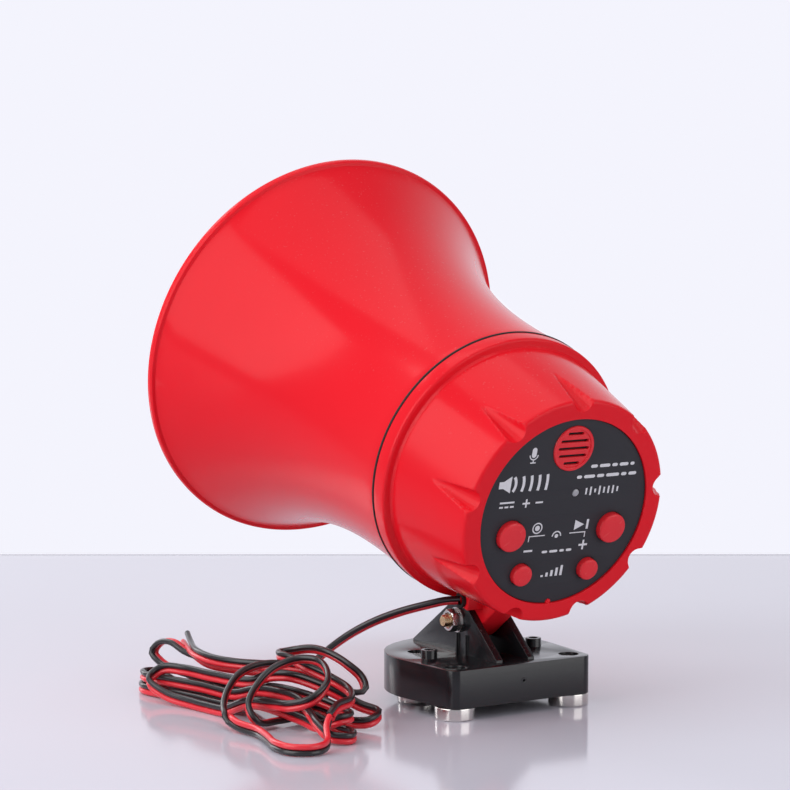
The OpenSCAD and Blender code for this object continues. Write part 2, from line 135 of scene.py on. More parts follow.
@dataclass
class MeshDraft:
    """Vertices and faces gathered from several shapes that end up as one piece."""

    points: list[Vector] = field(default_factory=list)
    faces: list[tuple[int, ...]] = field(default_factory=list)
    marks: list[int] = field(default_factory=list)

    def add(self, points: Iterable[Vector], faces: Iterable[Sequence[int]], mark: int = 0) -> None:
        """Adds one shape.

        Args:
            points: Its vertices, in metres.
            faces: Its faces, numbered from its own first vertex.
            mark: The material number that its faces get.
        """
        start = len(self.points)
        self.points.extend(points)
        for face in faces:
            self.faces.append(tuple(start + corner for corner in face))
            self.marks.append(mark)

    def revolve(self, axes: Axes, outline: Sequence[Point2], columns: int = 96,
                shape: Shape | None = None, mark: int = 0) -> None:
        """Turns an outline of (radius, height) points about the axes' z.

        Args:
            axes: Axes of the turned shape.
            outline: Points in millimetres, in order round the section.
            columns: Number of steps round the axis.
            shape: Moves a point (radius, height, angle in radians) to a new radius and height.
            mark: Material number.
        """
        points = []
        for radius, height in outline:
            for column in range(columns):
                angle = 2 * math.pi * column / columns
                r, h = shape(radius, height, angle) if shape else (radius, height)
                points.append(axes.at(r * math.cos(angle), r * math.sin(angle), h))
        self.add(points, ring_faces(len(outline), columns), mark)

    def cut_sheet(self, axes: Axes, outlines: Sequence[Sequence[Point2]], low: float, high: float,
                  edge: float = 0.0) -> None:
        """Adds a flat sheet with round edges, cut to outlines in the axes' x and y.

        Args:
            axes: Axes of the sheet.
            outlines: Closed outlines in millimetres. One inside another is a hole.
            low: Where the sheet starts along z.
            high: Where it ends.
            edge: Radius of its edges.
        """
        curve = bpy.data.curves.new("cut_sheet", "CURVE")
        curve.dimensions = "2D"
        curve.fill_mode = "BOTH"
        curve.extrude = (high - low) / 2 - edge
        curve.bevel_depth = edge
        curve.bevel_resolution = 2
        curve.offset = -edge
        for outline in outlines:
            spline = curve.splines.new("POLY")
            spline.points.add(len(outline) - 1)
            for point, (x, y) in zip(spline.points, outline):
                point.co = (x, y, 0.0, 1.0)
            spline.use_cyclic_u = True
        holder = bpy.data.objects.new("cut_sheet", curve)
        mesh = bpy.data.meshes.new_from_object(holder)
        middle = (low + high) / 2
        self.add([axes.at(v.co.x, v.co.y, v.co.z + middle) for v in mesh.vertices],
                 [tuple(face.vertices) for face in mesh.polygons])
        bpy.data.objects.remove(holder)
        bpy.data.curves.remove(curve)
        bpy.data.meshes.remove(mesh)

    def finished(self, name: str, materials: Sequence[bpy.types.Material], crease: float,
                 weld: float) -> bpy.types.Object:
        """Makes the object, with smooth faces and sharp edges where it creases.

        Args:
            name: The piece's name.
            materials: Materials in the order of the marks.
            crease: Angle in degrees above which an edge stays sharp.
            weld: Distance in millimetres within which vertices become one.

        Returns:
            The new object, linked to the scene.
        """
        mesh = bpy.data.meshes.new(name)
        mesh.from_pydata(self.points, [], self.faces)
        for material in materials:
            mesh.materials.append(material)
        mesh.polygons.foreach_set("material_index", self.marks)
        soften(mesh, crease, weld)
        piece = bpy.data.objects.new(name, mesh)
        bpy.context.scene.collection.objects.link(piece)
        return piece


def ring_faces(rings: int, columns: int, closed: bool = True) -> list[tuple[int, ...]]:
    """Joins rings of vertices, numbered ring after ring, with four-sided faces.

    Args:
        rings: Number of rings.
        columns: Number of vertices in each ring.
        closed: Whether the last ring joins the first.

    Returns:
        The faces.
    """
    faces = []
    for ring in range(rings if closed else rings - 1):
        here, after = ring * columns, (ring + 1) % rings * columns
        for column in range(columns):
            beside = (column + 1) % columns
            faces.append((here + column, here + beside, after + beside, after + column))
    return faces


def soften(mesh: bpy.types.Mesh, crease: float, weld: float) -> None:
    """Welds a mesh, turns its normals outwards, and keeps only its creases sharp.

    Args:
        mesh: The mesh.
        crease: Angle in degrees above which an edge stays sharp.
        weld: Distance in millimetres within which vertices become one.
    """
    body = bmesh.new()
    body.from_mesh(mesh)
    bmesh.ops.remove_doubles(body, verts=body.verts, dist=weld * MM)
    bmesh.ops.dissolve_degenerate(body, edges=body.edges, dist=weld * MM / 2)
    bmesh.ops.recalc_face_normals(body, faces=body.faces)
    limit = math.radians(crease)
    for face in body.faces:
        face.smooth = True
    for edge in body.edges:
        edge.smooth = edge.calc_face_angle(0.0) < limit
    body.to_mesh(mesh)
    body.free()


def rounded(corners: Sequence[Corner], steps: int = 5, closed: bool = True) -> list[Point2]:
    """Rounds the corners of an outline.

    Args:
        corners: Points with the radius of each corner, in millimetres.
        steps: Number of steps round each corner.
        closed: Whether the last corner joins the first.

    Returns:
        The outline's points.
    """
    outline: list[Point2] = []
    count = len(corners)
    for index, (x, y, radius) in enumerate(corners):
        is_end = not closed and index in (0, count - 1)
        if radius <= 0 or is_end:
            outline.append((x, y))
            continue
        corner = Vector((x, y))
        before = Vector(corners[index - 1][:2]) - corner
        after = Vector(corners[(index + 1) % count][:2]) - corner
        half = before.angle(after) / 2
        longest = 0.49 * min(before.length, after.length)
        reach = min(radius / math.tan(half), longest)
        start = corner + before.normalized() * reach
        end = corner + after.normalized() * reach
        for step in range(steps + 1):
            t = step / steps
            point = start * (1 - t) ** 2 + corner * 2 * t * (1 - t) + end * t ** 2
            outline.append((point.x, point.y))
    return outline


def arc(x: float, y: float, radius: float, start: float, sweep: float, steps: int) -> list[Point2]:
    """Lists points along an arc, with both its ends.

    Args:
        x: The arc's centre.
        y: The arc's centre.
        radius: Its radius, in millimetres.
        start: Angle of its first point, in radians.
        sweep: Angle from its first point to its last.
        steps: Number of steps along it.

    Returns:
        The points.
    """
    turns = [start + sweep * step / steps for step in range(steps + 1)]
    return [(x + radius * math.cos(a), y + radius * math.sin(a)) for a in turns]


def circle(x: float, y: float, radius: float, steps: int = 72) -> list[Point2]:
    """Returns a circle's outline, in millimetres."""
    return arc(x, y, radius, 0.0, 2 * math.pi, steps)[:-1]


def arc_band(x: float, y: float, radii: Point2, start: float, sweep: float, steps: int) -> list[Point2]:
    """Returns the outline of a band between two radii, from an angle and over a sweep."""
    outer, inner = (arc(x, y, radius, start, sweep, steps) for radius in radii)
    return outer + inner[::-1]


def slot(x: float, y: float, length: float, width: float, steps: int = 8) -> list[Point2]:
    """Returns the outline of a level slot with round ends, in millimetres."""
    right = arc(x + (length - width) / 2, y, width / 2, -math.pi / 2, math.pi, steps)
    return right + [(2 * x - px, 2 * y - py) for px, py in right]


def stroke(start: Point2, end: Point2, width: float) -> list[Point2]:
    """Returns the outline of a straight stroke with square ends, in millimetres."""
    a, b = Vector(start), Vector(end)
    side = (b - a).normalized().orthogonal() * width / 2
    return [tuple(a + side), tuple(b + side), tuple(b - side), tuple(a - side)]


def bezier(knots: Sequence[float], t: float) -> float:
    """Returns a cubic curve's value at t, from 0 to 1."""
    a, b, c, d = knots
    return a * (1 - t) ** 3 + 3 * b * t * (1 - t) ** 2 + 3 * c * t * t * (1 - t) + d * t ** 3


def hexagon(width: float, turn: float) -> Callable[[float], float]:
    """Returns the radius, at an angle in radians, of a hexagon of that width across its flats."""
    side = math.pi / 3
    return lambda angle: width / 2 / math.cos((angle + turn) % side - side / 2)


# ---------------------------------------------------------------- shader effects


class Desk:
    """Places and joins nodes in one shader tree."""

    def __init__(self, tree: bpy.types.NodeTree) -> None:
        """Starts work on a tree.

        Args:
            tree: The tree that gets the nodes.
        """
        self.tree = tree

    def add(self, kind: str, inputs: dict[str | int, object] | None = None,
            **settings: object) -> bpy.types.Node:
        """Adds one node.

        Args:
            kind: The node's type name.
            inputs: Values or source sockets for its inputs.
            **settings: The node's own properties.

        Returns:
            The node.
        """
        node = self.tree.nodes.new(kind)
        for name, value in settings.items():
            setattr(node, name, value)
        for key, value in (inputs or {}).items():
            self.feed(node.inputs[key], value)
        return node

    def feed(self, target: Socket, value: object) -> None:
        """Links a source socket to an input, or sets the input to a value."""
        if isinstance(value, Socket):
            self.tree.links.new(value, target)
        else:
            target.default_value = value

    def place(self) -> Socket:
        """Returns the object's own coordinates."""
        return self.add("ShaderNodeTexCoord").outputs["Object"]

    def noise(self, at: Socket, scale: object, detail: float, roughness: float = 0.5) -> Socket:
        """Returns a cloudy value from 0 to 1 at a place."""
        return self.add("ShaderNodeTexNoise", {"Vector": at, "Scale": scale, "Detail": detail,
                                               "Roughness": roughness}).outputs["Fac"]

    def math(self, operation: str, *values: object, clamp: bool = False) -> Socket:
        """Returns the result of an operation on values or source sockets."""
        return self.add("ShaderNodeMath", dict(enumerate(values)), operation=operation,
                        use_clamp=clamp).outputs[0]

    def stretch(self, value: Socket, low: float, high: float) -> Socket:
        """Returns a value stretched so that low becomes 0 and high becomes 1."""
        return self.add("ShaderNodeMapRange", {"Value": value, "From Min": low,
                                               "From Max": high}).outputs["Result"]

    def mix(self, amount: Socket, start: object, end: object) -> Socket:
        """Returns a colour that goes from start to end as the amount goes from 0 to 1."""
        return self.add("ShaderNodeMix", {0: amount, 6: start, 7: end}, data_type="RGBA").outputs[2]


class SharedEffects:
    """Node groups for surface effects that several finishes use."""

    dust_colour: tuple[float, float, float, float] = (0.62, 0.6, 0.58, 1.0)

    def __init__(self) -> None:
        """Builds every group once."""
        colour = {"Colour": "Color"}
        self.mottle = self._group("colour_mottle", {**colour, "Scale": "Float", "Depth": "Float"},
                                  colour, self._mottle)
        self.scuffs = self._group("handling_scuffs",
                                  {"Roughness": "Float", "Spread": "Float", "Scale": "Float"},
                                  {"Roughness": "Float"}, self._scuffs)
        self.pebble = self._group("pebble_skin", {"Scale": "Float"}, {"Height": "Float"}, self._pebble)
        self.edge_wear = self._group("edge_wear", {**colour, "Worn Colour": "Color", "Amount": "Float"},
                                     colour, self._edge_wear)
        self.dust = self._group("settled_dust", {**colour, "Amount": "Float"}, colour, self._dust)

    @staticmethod
    def _group(name: str, inputs: dict[str, str], outputs: dict[str, str],
               effect: Callable[[Desk, Sockets], dict[str, Socket]]) -> bpy.types.NodeTree:
        """Makes one group.

        Args:
            name: The group's name.
            inputs: Socket types by input name.
            outputs: Socket types by output name.
            effect: Adds the effect's nodes, and returns the source of each output.

        Returns:
            The group.
        """
        tree = bpy.data.node_groups.new(name, "ShaderNodeTree")
        for way, sockets in (("INPUT", inputs), ("OUTPUT", outputs)):
            for label, kind in sockets.items():
                tree.interface.new_socket(label, in_out=way, socket_type=f"NodeSocket{kind}")
        desk = Desk(tree)
        given = desk.add("NodeGroupInput").outputs
        desk.add("NodeGroupOutput", effect(desk, given))
        return tree

    @staticmethod
    def _mottle(desk: Desk, given: Sockets) -> dict[str, Socket]:
        """Adds the soft colour drift of moulded and plated surfaces."""
        cloud = desk.noise(desk.place(), given["Scale"], 3.0, 0.55)
        change = desk.math("MULTIPLY_ADD", desk.math("SUBTRACT", cloud, 0.5), given["Depth"], 1.0)
        scaled = desk.add("ShaderNodeVectorMath", {0: given["Colour"], "Scale": change}, operation="SCALE")
        return {"Colour": scaled.outputs["Vector"]}

    @staticmethod
    def _scuffs(desk: Desk, given: Sockets) -> dict[str, Socket]:
        """Adds handling marks: a cloudy roughness with faint fine scratches."""
        place = desk.place()
        cloud = desk.noise(place, given["Scale"], 5.0, 0.6)
        stretched = desk.add("ShaderNodeMapping", {"Vector": place, "Rotation": (0.5, 0.3, 0.8),
                                                   "Scale": (1.0, 14.0, 9.0)})
        scratch = desk.noise(stretched.outputs["Vector"], given["Scale"], 4.0)
        both = desk.math("MULTIPLY_ADD", desk.stretch(scratch, 0.62, 0.7), 0.35, cloud)
        centred = desk.math("SUBTRACT", both, 0.5)
        return {"Roughness": desk.math("MULTIPLY_ADD", centred, given["Spread"], given["Roughness"],
                                       clamp=True)}

    @staticmethod
    def _pebble(desk: Desk, given: Sockets) -> dict[str, Socket]:
        """Adds the fine uneven skin of moulded plastic, rubber and printed film."""
        place = desk.place()
        cells = desk.add("ShaderNodeTexVoronoi", {"Vector": place, "Scale": given["Scale"],
                                                  "Smoothness": 0.8}, feature="SMOOTH_F1")
        cloud = desk.noise(place, given["Scale"], 4.0)
        return {"Height": desk.math("MULTIPLY_ADD", cells.outputs["Distance"], 0.6, cloud)}

    @staticmethod
    def _edge_wear(desk: Desk, given: Sockets) -> dict[str, Socket]:
        """Lightens convex edges, broken up by noise."""
        shape = desk.add("ShaderNodeNewGeometry")
        edge = desk.stretch(shape.outputs["Pointiness"], 0.52, 0.62)
        broken = desk.math("MULTIPLY", edge, desk.noise(desk.place(), 420.0, 5.0))
        amount = desk.math("MULTIPLY", broken, given["Amount"], clamp=True)
        return {"Colour": desk.mix(amount, given["Colour"], given["Worn Colour"])}

    @classmethod
    def _dust(cls, desk: Desk, given: Sockets) -> dict[str, Socket]:
        """Adds pale dust specks that settle on faces looking up."""
        shape = desk.add("ShaderNodeNewGeometry")
        facing = desk.add("ShaderNodeSeparateXYZ", {"Vector": shape.outputs["Normal"]})
        specks = desk.stretch(desk.noise(desk.place(), 900.0, 3.0), 0.64, 0.72)
        settled = desk.math("MULTIPLY", desk.stretch(facing.outputs["Z"], 0.3, 0.9), specks)
        amount = desk.math("MULTIPLY", settled, given["Amount"], clamp=True)
        return {"Colour": desk.mix(amount, given["Colour"], cls.dust_colour)}


EFFECTS = SharedEffects()


@dataclass(frozen=True)
class Finish:
    """A surface finish: its colour and gloss, and how much it drifts, wears and gathers dust."""

    name: str
    colour: tuple[float, float, float]
    roughness: float
    spread: float = 0.08
    mottle: float = 0.1
    mottle_scale: float = 60.0
    grain: float = 0.01
    grain_scale: float = 900.0
    metallic: float = 0.0
    coat: float = 0.0
    coat_roughness: float = 0.06
    specular: float = 0.5
    wear: float = 0.0
    worn: tuple[float, float, float] = (0.6, 0.6, 0.6)
    dust: float = 0.0

    def material(self) -> bpy.types.Material:
        """Returns the finish's material, made the first time it is asked for."""
        known = bpy.data.materials.get(self.name)
        if known:
            return known
        material = bpy.data.materials.new(self.name)
        material.use_nodes = True
        material.diffuse_color = (*self.colour, 1.0)
        shader = material.node_tree.nodes["Principled BSDF"]
        shader.inputs["Coat Weight"].default_value = self.coat
        shader.inputs["Coat Roughness"].default_value = self.coat_roughness
        shader.inputs["Specular IOR Level"].default_value = self.specular
        shader.inputs["Metallic"].default_value = self.metallic
        self.wire(Desk(material.node_tree), shader)
        return material

    def wire(self, desk: Desk, shader: bpy.types.Node) -> None:
        """Links the drifting colour, the scuffed roughness and the bump.

        Args:
            desk: The material's desk.
            shader: The Principled shader.
        """
        colour, height = self.pattern(desk)
        scuffs = desk.add("ShaderNodeGroup", {"Roughness": self.roughness, "Spread": self.spread,
                                              "Scale": self.mottle_scale * 2}, node_tree=EFFECTS.scuffs)
        bump = desk.add("ShaderNodeBump", {"Strength": 1.0, "Distance": self.grain * MM, "Height": height})
        desk.feed(shader.inputs["Base Color"], self.drifted(desk, colour))
        desk.feed(shader.inputs["Roughness"], scuffs.outputs["Roughness"])
        desk.feed(shader.inputs["Normal"], bump.outputs["Normal"])

    def pattern(self, desk: Desk) -> tuple[object, Socket]:
        """Returns the colour before it drifts, and the height of the skin."""
        skin = desk.add("ShaderNodeGroup", {"Scale": self.grain_scale}, node_tree=EFFECTS.pebble)
        return (*self.colour, 1.0), skin.outputs["Height"]

    def drifted(self, desk: Desk, colour: object) -> Socket:
        """Adds mottle, worn edges and dust to a colour.

        Args:
            desk: The material's desk.
            colour: A colour socket, or the colour's four numbers.

        Returns:
            The socket with the changed colour.
        """
        steps = [(EFFECTS.mottle, {"Scale": self.mottle_scale, "Depth": self.mottle})]
        if self.wear:
            steps.append((EFFECTS.edge_wear, {"Worn Colour": (*self.worn, 1.0), "Amount": self.wear}))
        if self.dust:
            steps.append((EFFECTS.dust, {"Amount": self.dust}))
        for group, amounts in steps:
            changed = desk.add("ShaderNodeGroup", {"Colour": colour, **amounts}, node_tree=group)
            colour = changed.outputs["Colour"]
        return colour


@dataclass(frozen=True)
class TurnedMetal(Finish):
    """Plated or machined metal with fine turning lines."""

    line_scale: float = 2600.0

    def pattern(self, desk: Desk) -> tuple[object, Socket]:
        """Returns the plain colour, and the height of the turning lines."""
        lines = desk.add("ShaderNodeTexWave", {"Vector": desk.place(), "Scale": self.line_scale,
                                               "Distortion": 3.0, "Detail": 2.0},
                         bands_direction="DIAGONAL")
        return (*self.colour, 1.0), lines.outputs["Fac"]


@dataclass(frozen=True)
class CircuitBoard(Finish):
    """Green solder mask with raised tracks under it."""

    def pattern(self, desk: Desk) -> tuple[object, Socket]:
        """Returns the mask's colour, lighter over its tracks, and their height."""
        tracks = desk.add("ShaderNodeTexBrick", {"Vector": desk.place(), "Scale": 160.0,
                                                 "Color1": (0.02, 0.17, 0.06, 1.0),
                                                 "Color2": (0.03, 0.21, 0.08, 1.0),
                                                 "Mortar": (0.07, 0.34, 0.14, 1.0), "Mortar Size": 0.03})
        return tracks.outputs["Color"], tracks.outputs["Fac"]


@dataclass(frozen=True)
class WoundWire(Finish):
    """Enamelled wire wound in tight turns, with painted shade in the grooves between the turns."""

    # painted shade: the darker colour of the grooves between the turns, where shade falls
    between: tuple[float, float, float] = (0.2, 0.07, 0.03)

    def pattern(self, desk: Desk) -> tuple[object, Socket]:
        """Returns the wire's colour with painted shade in the grooves between its turns, and their height.
        """
        turns = desk.add("ShaderNodeTexWave", {"Vector": desk.place(), "Scale": 900.0,
                                               "Distortion": 0.6}, bands_direction="Y").outputs["Fac"]
        return desk.mix(turns, (*self.between, 1.0), (*self.colour, 1.0)), turns


@dataclass(frozen=True)
class Palette:
    """Every finish of the loudspeaker, by the name of the record's slot."""

    red_abs: Finish = Finish("glossy_red_plastic", (0.8, 0.010, 0.020), 0.18, spread=0.05, mottle=0.05,
                             mottle_scale=26.0, grain=0.0012, grain_scale=340.0, specular=0.14, coat=0.04,
                             coat_roughness=0.05, wear=0.2, worn=(0.95, 0.12, 0.12), dust=0.1)
    red_button: Finish = Finish("button_red_plastic", (0.78, 0.022, 0.032), 0.24, spread=0.05, mottle=0.05,
                                grain=0.002, grain_scale=700.0, specular=0.35, wear=0.25,
                                worn=(0.95, 0.2, 0.18))
    black_abs: Finish = Finish("glossy_black_plastic", (0.009, 0.009, 0.011), 0.18, spread=0.06,
                               mottle=0.12, grain=0.002, grain_scale=420.0, specular=0.45, coat=0.06,
                               coat_roughness=0.08, wear=0.12, worn=(0.06, 0.06, 0.065), dust=0.12)
    panel: Finish = Finish("satin_grey_film", (0.034, 0.034, 0.039), 0.5, spread=0.06, mottle=0.08,
                           grain=0.003, grain_scale=2600.0, specular=0.22, dust=0.15)
    ink: Finish = Finish("white_ink", (0.72, 0.72, 0.74), 0.6, mottle=0.15, mottle_scale=900.0,
                         grain_scale=3000.0)
    inner_plastic: Finish = Finish("matte_black_plastic", (0.022, 0.022, 0.025), 0.5)
    soft_black: Finish = Finish("black_rubber", (0.01, 0.01, 0.01), 0.62, grain=0.014, grain_scale=1500.0,
                                specular=0.35)
    lens: Finish = Finish("milky_lens", (0.36, 0.36, 0.38), 0.2, mottle=0.2, mottle_scale=500.0, coat=0.8)
    nickel: Finish = TurnedMetal("nickel_plate", (0.72, 0.69, 0.66), 0.16, spread=0.1, mottle=0.12,
                                 grain=0.002, metallic=1.0, wear=0.2, worn=(0.9, 0.88, 0.85))
    zinc: Finish = TurnedMetal("zinc_plate", (0.62, 0.61, 0.6), 0.24, spread=0.16, mottle=0.2,
                               grain=0.004, metallic=1.0, wear=0.3, worn=(0.85, 0.85, 0.83))
    yellow_zinc: Finish = TurnedMetal("yellow_zinc_plate", (0.72, 0.52, 0.3), 0.28, spread=0.16,
                                      mottle=0.3, grain=0.004, metallic=1.0)
    soft_iron: Finish = TurnedMetal("plated_iron", (0.42, 0.43, 0.45), 0.35, grain=0.004, metallic=1.0)
    ferrite: Finish = Finish("fired_ferrite", (0.03, 0.03, 0.033), 0.6, mottle=0.3, grain=0.02)
    # the wound copper carries painted shade in the grooves between its turns
    copper: Finish = WoundWire("wound_copper", (0.6, 0.26, 0.12), 0.3, grain=0.03, metallic=0.8)
    film: Finish = Finish("pressed_film", (0.55, 0.48, 0.34), 0.5, mottle=0.25, grain=0.02)
    board: Finish = CircuitBoard("solder_mask", (0.03, 0.2, 0.08), 0.35, grain=0.02)
    chip: Finish = Finish("moulded_epoxy", (0.02, 0.02, 0.022), 0.55, grain=0.015)
    heat_sink: Finish = TurnedMetal("extruded_aluminium", (0.6, 0.61, 0.63), 0.35, grain=0.006,
                                    metallic=1.0)
    capacitor: Finish = Finish("shrink_sleeve", (0.02, 0.03, 0.1), 0.3, grain=0.008, coat=0.3)
    terminal: Finish = Finish("green_plastic", (0.03, 0.25, 0.1), 0.4, grain=0.008)
    capsule: Finish = TurnedMetal("pressed_can", (0.6, 0.6, 0.62), 0.3, grain=0.003, metallic=1.0)
    lead: Finish = Finish("black_insulation", (0.012, 0.011, 0.013), 0.3, spread=0.12, mottle=0.25,
                          mottle_scale=160.0, grain=0.012, coat=0.3, coat_roughness=0.15)
    red_lead: Finish = Finish("red_insulation", (0.78, 0.02, 0.035), 0.34, spread=0.12, mottle=0.15,
                              mottle_scale=160.0, grain=0.012, coat=0.3, coat_roughness=0.15)
    table: Finish = Finish("pale_table", (0.65, 0.635, 0.72), 0.11, spread=0.02, mottle=0.03,
                           mottle_scale=3.0, grain=0.0006, grain_scale=60.0, specular=0.3)

    def dress_frame(self) -> None:
        """Gives every node of the frame the finish of its record slot."""
        for node in frame["nodes"].values():
            for slot_number, holder in enumerate(node.material_slots):
                known = holder.material.name if holder.material else ""
                finish = getattr(self, known.split(".")[0], self.inner_plastic)
                node.material_slots[slot_number].material = finish.material()


PALETTE = Palette()


def place_piece(draft: MeshDraft, name: str, finishes: Sequence[Finish], body: str, slot_name: str,
                *nodes: str, crease: float = 38.0, weld: float = 0.004) -> None:
    """Makes a piece, rides it on its body and hides the frame's nodes that it replaces.

    Args:
        draft: The piece's shape.
        name: The piece's name.
        finishes: Its finishes, in the order of the draft's marks.
        body: The body that it moves with.
        slot_name: Not used.
        *nodes: The frame's nodes that it replaces.
        crease: Angle in degrees above which an edge stays sharp.
        weld: Distance in millimetres within which vertices become one.
    """
    piece = draft.finished(name, [finish.material() for finish in finishes], crease, weld)
    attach(piece, body)
    if nodes:
        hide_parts(*nodes)
    log.info("%s rides on %s, %d faces", piece.name, body, len(piece.data.polygons))


# ---------------------------------------------------------------- studio


@dataclass
class Studio:
    """Camera, table and soft lights."""

    camera_at: Vector = field(default_factory=lambda: Vector((0.6654, 1.0216, 0.2371)))
    heading: float = 212.43
    pitch: float = 5.5
    lens: float = 137.5
    sensor: float = 36.0
    clip_start: float = 0.05
    table_past_object: float = 0.37
    table_size: float = 3.2
    table_depth: float = 0.025
    table_corner_r: float = 0.020
    table_edge: float = 0.006
    backdrop: tuple[float, float, float, float] = (0.905, 0.905, 0.985, 1.0)
    dim_glow: float = 0.38
    bright_glow: float = 1.0
    target: Vector = field(default_factory=lambda: Vector((0.02, 0.0, 0.08)))

    def directions(self) -> tuple[Vector, Vector]:
        """Returns the level directions ahead of the camera and to its right."""
        turn = math.radians(self.heading)
        ahead = Vector((math.sin(turn), math.cos(turn), 0.0))
        return ahead, ahead.cross(WORLD_UP)

    def build(self) -> None:
        """Makes the camera first, then the table and the lights."""
        self.make_camera()
        self.make_table()
        self.make_lights()

    def make_camera(self) -> None:
        """Makes the camera at its place and sets it as the scene's."""
        ahead, _ = self.directions()
        tilt = math.radians(self.pitch)
        view = ahead * math.cos(tilt) - WORLD_UP * math.sin(tilt)
        camera = bpy.data.objects.new("camera", bpy.data.cameras.new("camera"))
        camera.data.lens = self.lens
        camera.data.sensor_width = self.sensor
        camera.data.clip_start = self.clip_start
        camera.location = self.camera_at
        camera.rotation_euler = view.to_track_quat("-Z", "Y").to_euler()
        bpy.context.scene.collection.objects.link(camera)
        bpy.context.scene.camera = camera

    def make_table(self) -> None:
        """Makes a pale glossy table whose far edge lies behind the object."""
        ahead, right = self.directions()
        axes = Axes(ahead * self.table_past_object, right, -ahead, WORLD_UP)
        half, corner_r = self.table_size / MM / 2, self.table_corner_r / MM
        outline = rounded([(-half, 0.0, corner_r), (half, 0.0, corner_r), (half, 2 * half, corner_r),
                           (-half, 2 * half, corner_r)])
        draft = MeshDraft()
        draft.cut_sheet(axes, [outline], -self.table_depth / MM, 0.0, self.table_edge / MM)
        table = draft.finished("table", [PALETTE.table.material()], crease=60.0, weld=0.004)

    def make_lights(self) -> None:
        """Makes large soft lights round the object and a pale surrounding glow."""
        self.soft_light("key_light", -1.05, -0.6, 0.6, (1.4, 1.4), 15.0)
        self.soft_light("fill_light", 1.2, -0.75, 0.35, (1.3, 1.3), 8.0)
        self.soft_light("top_light", -0.1, 0.0, 1.2, (1.3, 0.9), 3.5)
        self.soft_light("left_rim_light", -0.8, 0.7, 0.5, (0.3, 1.0), 3.0)
        self.make_surround()

    def make_surround(self) -> None:
        """Makes the pale surround: dim on the camera's side, bright behind and where it is seen."""
        world = bpy.data.worlds.new("studio")
        world.use_nodes = True
        bpy.context.scene.world = world
        desk = Desk(world.node_tree)
        background = world.node_tree.nodes["Background"]
        background.inputs["Color"].default_value = self.backdrop
        ahead, _ = self.directions()
        place = desk.add("ShaderNodeTexCoord")
        facing = desk.add("ShaderNodeVectorMath", {0: place.outputs["Generated"], 1: tuple(ahead)},
                          operation="DOT_PRODUCT")
        glow = desk.add("ShaderNodeMapRange", {"Value": facing.outputs["Value"], "From Min": 0.4,
                                               "From Max": 0.95, "To Min": self.dim_glow,
                                               "To Max": self.bright_glow})
        path = desk.add("ShaderNodeLightPath")
        seen = desk.math("MAXIMUM", glow.outputs["Result"], path.outputs["Is Camera Ray"])
        desk.feed(background.inputs["Strength"], seen)

    def soft_light(self, name: str, right_by: float, ahead_by: float, up_by: float,
                   size: tuple[float, float], power: float) -> None:
        """Makes one area light aimed at the object.

        Args:
            name: The light's name.
            right_by: Metres to the camera's right of the object.
            ahead_by: Metres beyond the object.
            up_by: Metres above the table.
            size: Width and height in metres.
            power: Watts.
        """
        ahead, right = self.directions()
        light = bpy.data.lights.new(name, "AREA")
        light.shape = "RECTANGLE"
        light.size, light.size_y = size
        light.energy = power
        holder = bpy.data.objects.new(name, light)
        holder.location = self.target + right * right_by + ahead * ahead_by + WORLD_UP * up_by
        holder.rotation_euler = (self.target - holder.location).to_track_quat("-Z", "Y").to_euler()
        bpy.context.scene.collection.objects.link(holder)


# ---------------------------------------------------------------- twin lead


class Stand(Enum):
    """The way from the red core to the black one, along, across and above the hank."""

    ON_EDGE = (0.0, 0.0, 1.0)
    TURNED_OVER = (0.0, 0.0, -1.0)
    ACROSS = (0.0, -1.0, 0.0)
    ALONG = (1.0, 0.0, 0.0)
    LEANING = (0.6, -0.53, 0.6)
    RISING = (0.75, 0.0, 0.7)


def unit(vectors: np.ndarray) -> np.ndarray:
    """Returns row vectors scaled to length 1."""
    return vectors / np.linalg.norm(vectors, axis=1, keepdims=True)


def square_to(ahead: np.ndarray, vectors: np.ndarray) -> np.ndarray:
    """Returns row vectors without their part along the unit vectors ahead."""
    return vectors - ahead * np.sum(vectors * ahead, axis=1, keepdims=True)


